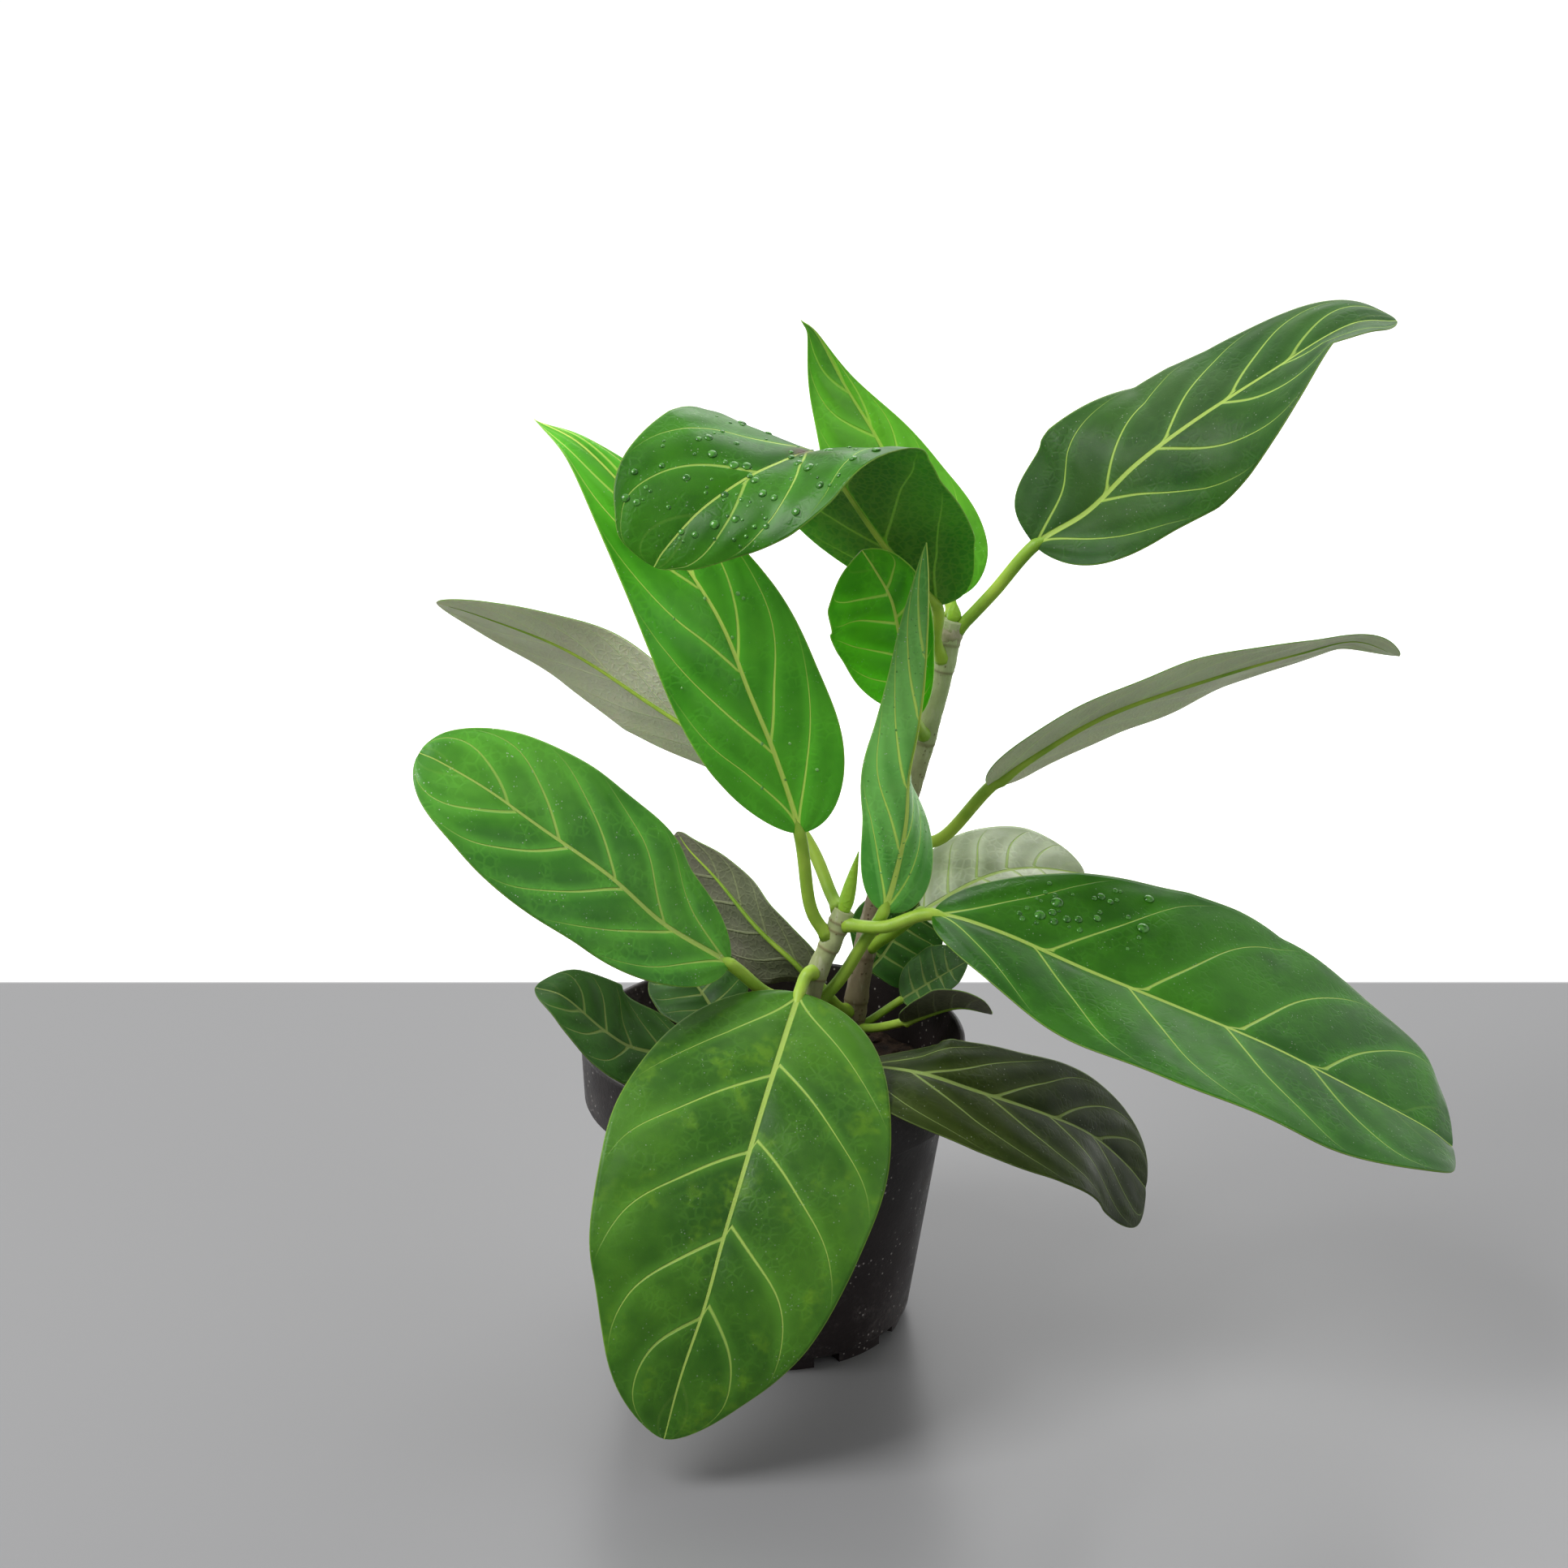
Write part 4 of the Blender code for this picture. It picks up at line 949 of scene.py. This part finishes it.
def wall_radius(height):
    collar_bottom = POT_HEIGHT - COLLAR_HEIGHT
    top_radius = RIM_RADIUS - COLLAR_TAPER - COLLAR_STEP
    share = (height - FOOT_HEIGHT) / (collar_bottom - FOOT_HEIGHT)
    return BASE_RADIUS + (top_radius - BASE_RADIUS) * share


def inner_radius(height):
    collar_bottom = POT_HEIGHT - COLLAR_HEIGHT
    if height <= collar_bottom:
        return wall_radius(height) - POT_WALL
    bottom = wall_radius(collar_bottom) - POT_WALL
    return bottom + (RIM_RADIUS - RIM_WALL - bottom) * (height - collar_bottom) / COLLAR_HEIGHT


def segments_round(place):
    turn = math.degrees(math.atan2(place.y, place.x)) % 360.0
    return turn / 360.0 * POT_SEGMENTS + PATTERN_TURN


def faces_between(builder, height, low_radius, high_radius):
    found = []
    for face in builder.faces:
        middle = face.calc_center_median()
        flat = all(abs(vert.co.z - height) < 0.01 for vert in face.verts)
        if flat and low_radius < math.hypot(middle.x, middle.y) < high_radius:
            found.append(face)
    return found


def in_foot(face):
    return segments_round(face.calc_center_median()) % (FOOT_SEGMENTS + DRAIN_SEGMENTS) < FOOT_SEGMENTS


def drain_edges(builder, number):
    middle = number * (FOOT_SEGMENTS + DRAIN_SEGMENTS) + FOOT_SEGMENTS + DRAIN_SEGMENTS / 2
    found = []
    for edge in builder.edges:
        place = (edge.verts[0].co + edge.verts[1].co) / 2
        apart = (segments_round(place) - middle + POT_SEGMENTS / 2) % POT_SEGMENTS - POT_SEGMENTS / 2
        if edge.is_boundary and abs(apart) < (DRAIN_SEGMENTS + 1) / 2:
            found.append(edge)
    return found


def pot_profile():
    """Half section of the pot: outside from the pad up to the lip, then the inside down again."""
    floor_top = FOOT_HEIGHT + POT_FLOOR
    collar_bottom = POT_HEIGHT - COLLAR_HEIGHT
    foot_outer = BASE_RADIUS - FOOT_INSET
    drain_outer = DRAIN_INNER_RADIUS + DRAIN_LENGTH
    curve_top = FOOT_HEIGHT + BASE_CURVE
    profile = [(PAD_RADIUS, FOOT_HEIGHT), (DRAIN_INNER_RADIUS, FOOT_HEIGHT), (drain_outer, FOOT_HEIGHT),
               (foot_outer - FOOT_WIDTH, FOOT_HEIGHT), (foot_outer, FOOT_HEIGHT),
               (BASE_RADIUS - 0.8, FOOT_HEIGHT), (BASE_RADIUS - 0.1, FOOT_HEIGHT + 0.7),
               (wall_radius(curve_top), curve_top)]
    for share in (0.25, 0.5, 0.75):
        height = curve_top + (collar_bottom - curve_top) * share
        profile.append((wall_radius(height), height))
    shoulder = RIM_RADIUS - COLLAR_TAPER
    under_collar = wall_radius(collar_bottom)
    profile += [(under_collar - 0.1, collar_bottom - 0.6), (under_collar + 0.8, collar_bottom),
                (shoulder - 1.4, collar_bottom), (shoulder - 0.4, collar_bottom + 0.3),
                (shoulder, collar_bottom + 1.2), (shoulder + 0.5, collar_bottom + COLLAR_HEIGHT / 2),
                (RIM_RADIUS, POT_HEIGHT - 1.5)]
    for step in range(1, 8):
        angle = math.pi * step / 8
        lip = RIM_WALL / 2
        profile.append((RIM_RADIUS - lip + lip * math.cos(angle), POT_HEIGHT - lip + lip * math.sin(angle)))
    profile += [(RIM_RADIUS - RIM_WALL, POT_HEIGHT - 1.5), (inner_radius(collar_bottom), collar_bottom),
                (inner_radius(floor_top + 1.5), floor_top + 1.5), (inner_radius(floor_top) - 1.0, floor_top),
                (drain_outer, floor_top), (DRAIN_INNER_RADIUS, floor_top), (PAD_RADIUS, floor_top)]
    return profile


def build_pot(plastic):
    floor_top = FOOT_HEIGHT + POT_FLOOR
    foot_outer = BASE_RADIUS - FOOT_INSET
    drain_outer = DRAIN_INNER_RADIUS + DRAIN_LENGTH
    builder = bmesh.new()
    points = [builder.verts.new((radius, 0.0, height)) for radius, height in pot_profile()]
    edges = [builder.edges.new((a, b)) for a, b in zip(points, points[1:])]
    bmesh.ops.spin(builder, geom=points + edges, cent=(0, 0, 0), axis=(0, 0, 1),
                   angle=2 * math.pi, steps=POT_SEGMENTS, use_merge=True)
    bmesh.ops.remove_doubles(builder, verts=builder.verts, dist=0.01)
    bmesh.ops.holes_fill(builder, edges=[edge for edge in builder.edges if edge.is_boundary], sides=0)
    drains = []
    for height in (FOOT_HEIGHT, floor_top):
        ring = faces_between(builder, height, DRAIN_INNER_RADIUS, drain_outer)
        drains += [face for face in ring if not in_foot(face)]
    bmesh.ops.delete(builder, geom=drains, context="FACES")
    for number in range(POT_SEGMENTS // (FOOT_SEGMENTS + DRAIN_SEGMENTS)):
        bmesh.ops.bridge_loops(builder, edges=drain_edges(builder, number))
    ring = faces_between(builder, FOOT_HEIGHT, foot_outer - FOOT_WIDTH, foot_outer)
    standing = [face for face in ring if in_foot(face)]
    standing += faces_between(builder, FOOT_HEIGHT, -1.0, PAD_RADIUS)
    grown = bmesh.ops.extrude_face_region(builder, geom=standing)
    moved = [item for item in grown["geom"] if isinstance(item, bmesh.types.BMVert)]
    bmesh.ops.translate(builder, vec=(0, 0, -FOOT_HEIGHT), verts=moved)
    bmesh.ops.delete(builder, geom=standing, context="FACES_ONLY")
    bmesh.ops.recalc_face_normals(builder, faces=builder.faces)
    mesh = mesh_from_builder("visual_pot", builder, plastic)
    mesh.shade_smooth()
    mesh.set_sharp_from_angle(angle=math.radians(40))
    place_piece("visual_pot", mesh, ["pot"])


def build_soil(mix):
    """Uneven potting mix with crumbs of bark on it, down to the pot's floor."""
    edge = inner_radius(SOIL_TOP) - SOIL_CLEARANCE
    floor = FOOT_HEIGHT + POT_FLOOR + SOIL_CLEARANCE
    bottom_radius = inner_radius(floor) - SOIL_CLEARANCE - 1.0
    points = [(0.0, 0.0, SOIL_TOP - 1.5)]
    for ring in range(1, SOIL_RINGS + 1):
        radius = edge * ring / SOIL_RINGS
        for step in range(SOIL_TURNS):
            angle = 2 * math.pi * step / SOIL_TURNS
            x, y = radius * math.cos(angle), radius * math.sin(angle)
            lumps = noise.fractal(Vector((x, y, 0.0)) * 0.09, 0.8, 2.1, 5)
            points.append((x, y, SOIL_TOP - 1.5 + SOIL_ROUGHNESS * lumps))
    for radius, height in ((bottom_radius, floor), (bottom_radius * 0.5, floor)):
        for step in range(SOIL_TURNS):
            angle = 2 * math.pi * step / SOIL_TURNS
            points.append((radius * math.cos(angle), radius * math.sin(angle), height))
    faces = []
    for step in range(SOIL_TURNS):
        faces.append((0, 1 + step, 1 + (step + 1) % SOIL_TURNS))
    for ring in range(SOIL_RINGS + 1):
        for step in range(SOIL_TURNS):
            after = (step + 1) % SOIL_TURNS
            a = 1 + ring * SOIL_TURNS
            faces.append((a + step, a + SOIL_TURNS + step, a + SOIL_TURNS + after, a + after))
    last = 1 + (SOIL_RINGS + 1) * SOIL_TURNS
    faces.append(tuple(last + step for step in reversed(range(SOIL_TURNS))))
    make_piece("visual_soil", points, faces, [mix], None, ["soil"])

    chance = random.Random(SEED)
    crumbs = bmesh.new()
    for number in range(CRUMBS):
        radius = (edge - 4.0) * math.sqrt(chance.random())
        angle = chance.uniform(0.0, 2 * math.pi)
        size = 0.8 + 2.2 * chance.random() ** 2.5
        made = bmesh.ops.create_icosphere(crumbs, subdivisions=2, radius=1.0)["verts"]
        stretch = Vector((size * chance.uniform(0.8, 2.0), size * chance.uniform(0.6, 1.2), size * 0.6))
        turn = chance.uniform(0.0, math.pi)
        for vert in made:
            rough = 1.0 + 0.35 * noise.noise(vert.co * 1.7 + Vector((number, 0, 0)))
            x, y, z = (side * wide * rough for side, wide in zip(vert.co, stretch))
            vert.co = Vector((x * math.cos(turn) - y * math.sin(turn) + radius * math.cos(angle),
                              x * math.sin(turn) + y * math.cos(turn) + radius * math.sin(angle),
                              z + SOIL_TOP - 1.4))
    place_piece("soil_crumbs", mesh_from_builder("soil_crumbs", crumbs, mix))


# Room

def build_room():
    """A pale floor that is grey in front and white behind, soft lights and the camera."""
    bpy.ops.mesh.primitive_plane_add(size=12.0, location=(0, 0, 0))
    floor = bpy.context.active_object
    floor.name = "floor"
    material, tree, shader = new_material("floor_paint", roughness=0.35, specular=0.3)
    place = tree.nodes.new("ShaderNodeTexCoord").outputs["Object"]
    split = tree.nodes.new("ShaderNodeSeparateXYZ")
    tree.links.new(place, split.inputs["Vector"])
    behind = remap(tree, split.outputs["Y"], 0.328, 0.334)
    tree.links.new(blend_colours(tree, behind, (0.235, 0.235, 0.238), (0.95, 0.95, 0.95)),
                   shader.inputs["Base Color"])
    shader.inputs["Emission Color"].default_value = (1.0, 1.0, 1.0, 1.0)
    tree.links.new(calculate(tree, "MULTIPLY", behind, 0.4), shader.inputs["Emission Strength"])
    tree.links.new(calculate(tree, "MULTIPLY_ADD", behind, 0.5, 0.3), shader.inputs["Roughness"])
    floor.data.materials.append(material)

    world = bpy.data.worlds.new("room_light")
    world.use_nodes = True
    tree = world.node_tree
    sky = tree.nodes.new("ShaderNodeSeparateXYZ")
    tree.links.new(tree.nodes.new("ShaderNodeTexCoord").outputs["Generated"], sky.inputs["Vector"])
    behind = remap(tree, sky.outputs["Y"], -0.35, 0.35)
    shade = blend_colours(tree, behind, (0.34, 0.34, 0.35), (1.0, 1.0, 1.0))
    tree.links.new(shade, tree.nodes["Background"].inputs["Color"])
    tree.nodes["Background"].inputs["Strength"].default_value = 0.97
    bpy.context.scene.world = world
    bpy.context.scene.view_settings.view_transform = "Standard"
    for name, place, size, power in (
            ("key", (-0.9, -0.5, 1.5), 0.8, 24.0),
            ("fill", (1.3, -0.9, 1.0), 1.2, 4.0),
            ("back", (0.3, 1.3, 1.5), 1.3, 14.0)):
        light = bpy.data.lights.new(name, "AREA")
        light.size = size
        light.energy = power
        lamp = bpy.data.objects.new(name, light)
        lamp.location = place
        lamp.rotation_euler = (Vector((0.0, 0.0, 0.2)) - Vector(place)).to_track_quat("-Z", "Y").to_euler()
        bpy.context.scene.collection.objects.link(lamp)

    camera = bpy.data.cameras.new("camera")
    camera.lens = LENS
    camera.sensor_width = SENSOR
    holder = bpy.data.objects.new("camera", camera)
    holder.location = Vector(CAMERA_PLACE) * MM
    holder.rotation_euler = (math.radians(90.0 - CAMERA_DOWN), 0.0, 0.0)
    bpy.context.scene.collection.objects.link(holder)
    bpy.context.scene.camera = holder


# The whole plant

VEIN = (0.36, 0.52, 0.10)
SOFT_VEIN = (0.20, 0.28, 0.07)
LIGHT_VEIN = (0.62, 0.86, 0.15)
YOUNG_VEIN = (0.38, 0.66, 0.08)

# Upper sides: dark and fresh green, vein colour, roughness, and what else differs
UPPER_SIDES = {
    "deep": ((0.024, 0.098, 0.006), (0.062, 0.185, 0.012), VEIN, 0.38, {"spots": 0.6}),
    "full": ((0.014, 0.085, 0.003), (0.034, 0.160, 0.005), VEIN, 0.36, {"shine_level": 0.18}),
    "cool": ((0.034, 0.170, 0.012), (0.090, 0.320, 0.026), VEIN, 0.38, {"dust": 0.6}),
    "mid": ((0.045, 0.270, 0.010), (0.095, 0.420, 0.020), LIGHT_VEIN, 0.36, {"glow": 0.12}),
    "dewy": ((0.075, 0.320, 0.045), (0.180, 0.480, 0.100), LIGHT_VEIN, 0.38, {"dust": 0.9}),
    "young": ((0.065, 0.260, 0.012), (0.125, 0.400, 0.024), YOUNG_VEIN, 0.38, {"glow": 0.2}),
    # Painted backlight: leaf_cupped's light yellow-green is lifted further, for the light that shines
    # through it from behind.
    "light_green_painted_backlight": ((0.050, 0.330, 0.006), (0.120, 0.560, 0.012), LIGHT_VEIN, 0.36, {"glow": 0.25}),
    # Painted sheen: leaf_top_right's green gets grey-brown patches for the grey reflection on its gloss.
    "painted_grey_sheen": ((0.014, 0.066, 0.007), (0.034, 0.105, 0.014), VEIN, 0.46, {"painted_sheen": 0.10, "shine_level": 0.12}),
    # Painted sheen: leaf_behind_right's pale whitish grey-green stands for the white gloss on it, with
    # painted grey sheen patches over it.
    "pale": ((0.280, 0.340, 0.190), (0.480, 0.540, 0.380), VEIN, 0.40, {"painted_sheen": 0.1, "shine_level": 0.5}),
    "dull": ((0.013, 0.025, 0.002), (0.030, 0.048, 0.005), SOFT_VEIN, 0.46, {"shine_level": 0.12}),
    # Painted shade: a darkened copy of the leaf green for the low leaves that sit in shade inside the plant.
    "painted_shade_top": ((0.014, 0.060, 0.006), (0.032, 0.110, 0.012), SOFT_VEIN, 0.44, {}),
}
UPPER_SIDE_OF = {
    "leaf_front": "deep", "leaf_left": "cool", "leaf_folded_centre": "dewy", "leaf_top_centre": "young",
    "leaf_cupped": "light_green_painted_backlight", "leaf_upright_left": "mid", "leaf_top_right": "painted_grey_sheen",
    "leaf_behind_right": "pale", "leaf_rim_right": "dull", "leaf_rim_left": "painted_shade_top",
    "leaf_inner_left": "painted_shade_top", "leaf_behind_stem": "painted_shade_top", "leaf_low_right": "painted_shade_top",
    "leaf_small_centre": "painted_shade_top",
}

# Undersides: plain and warm colour, vein colour, and what else differs
UNDERSIDES = {
    "under": ((0.600, 0.610, 0.450), (0.540, 0.530, 0.400), (0.70, 0.76, 0.46), {"glow": 0.15}),
    # Painted shade: a darkened copy of the underside for the low leaves that sit in shade.
    "painted_shade_under": ((0.130, 0.150, 0.085), (0.165, 0.165, 0.115), (0.28, 0.32, 0.16), {}),
    # Painted backlight: leaf_curled's underside is coloured bright green for the light that shines through
    # it from behind.
    "painted_backlight_under": ((0.045, 0.170, 0.012), (0.070, 0.220, 0.018), (0.30, 0.50, 0.07), {"glow": 0.5}),
}
UNDERSIDE_OF = {
    "leaf_curled": "painted_backlight_under", "leaf_low_back_left": "painted_shade_under", "leaf_spoon": "painted_shade_under",
    "leaf_rim_right": "painted_shade_under", "leaf_small_centre": "painted_shade_under",
}

# Drops: piece, leaf, where along it, how many tried, smallest and largest radius, where across it,
# seed, water
DROPS = (
    ("drops_curled", "leaf_curled", 0.55, 0.93, 90, (0.6, 2.0), (0.08, 0.92), 11, "water"),
    ("drops_right", "leaf_right_large", 0.14, 0.36, 44, (0.7, 2.6), (0.08, 0.40), 12, "water"),
    ("drops_upright", "leaf_upright_left", 0.05, 0.6, 14, (0.4, 0.9), (0.1, 0.9), 13, "dew"),
    ("dew_folded", "leaf_folded_centre", 0.10, 0.85, 120, (0.22, 0.5), (0.05, 0.95), 14, "dew"),
)

# Stem skins: lower, upper and ring colours, depth of the cracks
STEM_GREEN = ((0.26, 0.25, 0.13), (0.36, 0.41, 0.19), (0.14, 0.075, 0.035), 0.15)
STEM_BARK = ((0.27, 0.21, 0.145), (0.44, 0.52, 0.27), (0.11, 0.06, 0.03), 0.5)
COLLAR_SKIN = ((0.42, 0.40, 0.26), (0.48, 0.46, 0.32), (0.20, 0.12, 0.06), 0.4)


def build_leaves(stem_lines):
    uppers = {}
    for key, (dark, fresh, vein, roughness, extra) in UPPER_SIDES.items():
        uppers[key] = leaf_top("leaf_" + key, dark, fresh, vein, roughness, **extra)
    unders = {}
    for key, (plain, warm, vein, extra) in UNDERSIDES.items():
        unders[key] = leaf_under("leaf_" + key, plain, warm, vein, **extra)
    petiole = petiole_skin()
    waters = {
        "water": water_skin("water_skin", (0.020, 0.110, 0.008), (0.070, 0.260, 0.030)),
        "dew": water_skin("dew_skin", (0.110, 0.340, 0.060), (0.240, 0.560, 0.150)),
    }
    blades = {}
    for number, leaf in enumerate(LEAVES):
        name = leaf["name"]
        upper = uppers[UPPER_SIDE_OF.get(name, "full")]
        back = unders[UNDERSIDE_OF.get(name, "under")]
        blades[name] = build_leaf(leaf, number, stem_lines, upper, back, petiole)
    for name, leaf_name, low, high, amount, radii, sides, seed, water in DROPS:
        scatter_drops(name, blades[leaf_name], low, high, amount, radii, sides, seed, waters[water])


def main():
    build_room()
    stem_lines = {key: stem_line(stem) for key, stem in STEMS.items()}
    build_leaves(stem_lines)
    build_stem("front", stem_lines, stem_skin("stem_green", *STEM_GREEN))
    build_stem("back", stem_lines, stem_skin("stem_bark", *STEM_BARK))
    bud = leaf_under("bud_skin", (0.24, 0.44, 0.03), (0.34, 0.54, 0.05), (0.30, 0.54, 0.04), 0.42, glow=0.3)
    for key in STEMS:
        build_bud(key, stem_lines, bud)
    build_collar(stem_lines, stem_skin("collar_skin", *COLLAR_SKIN))
    build_soil(soil_mix())
    build_pot(pot_plastic())


main()
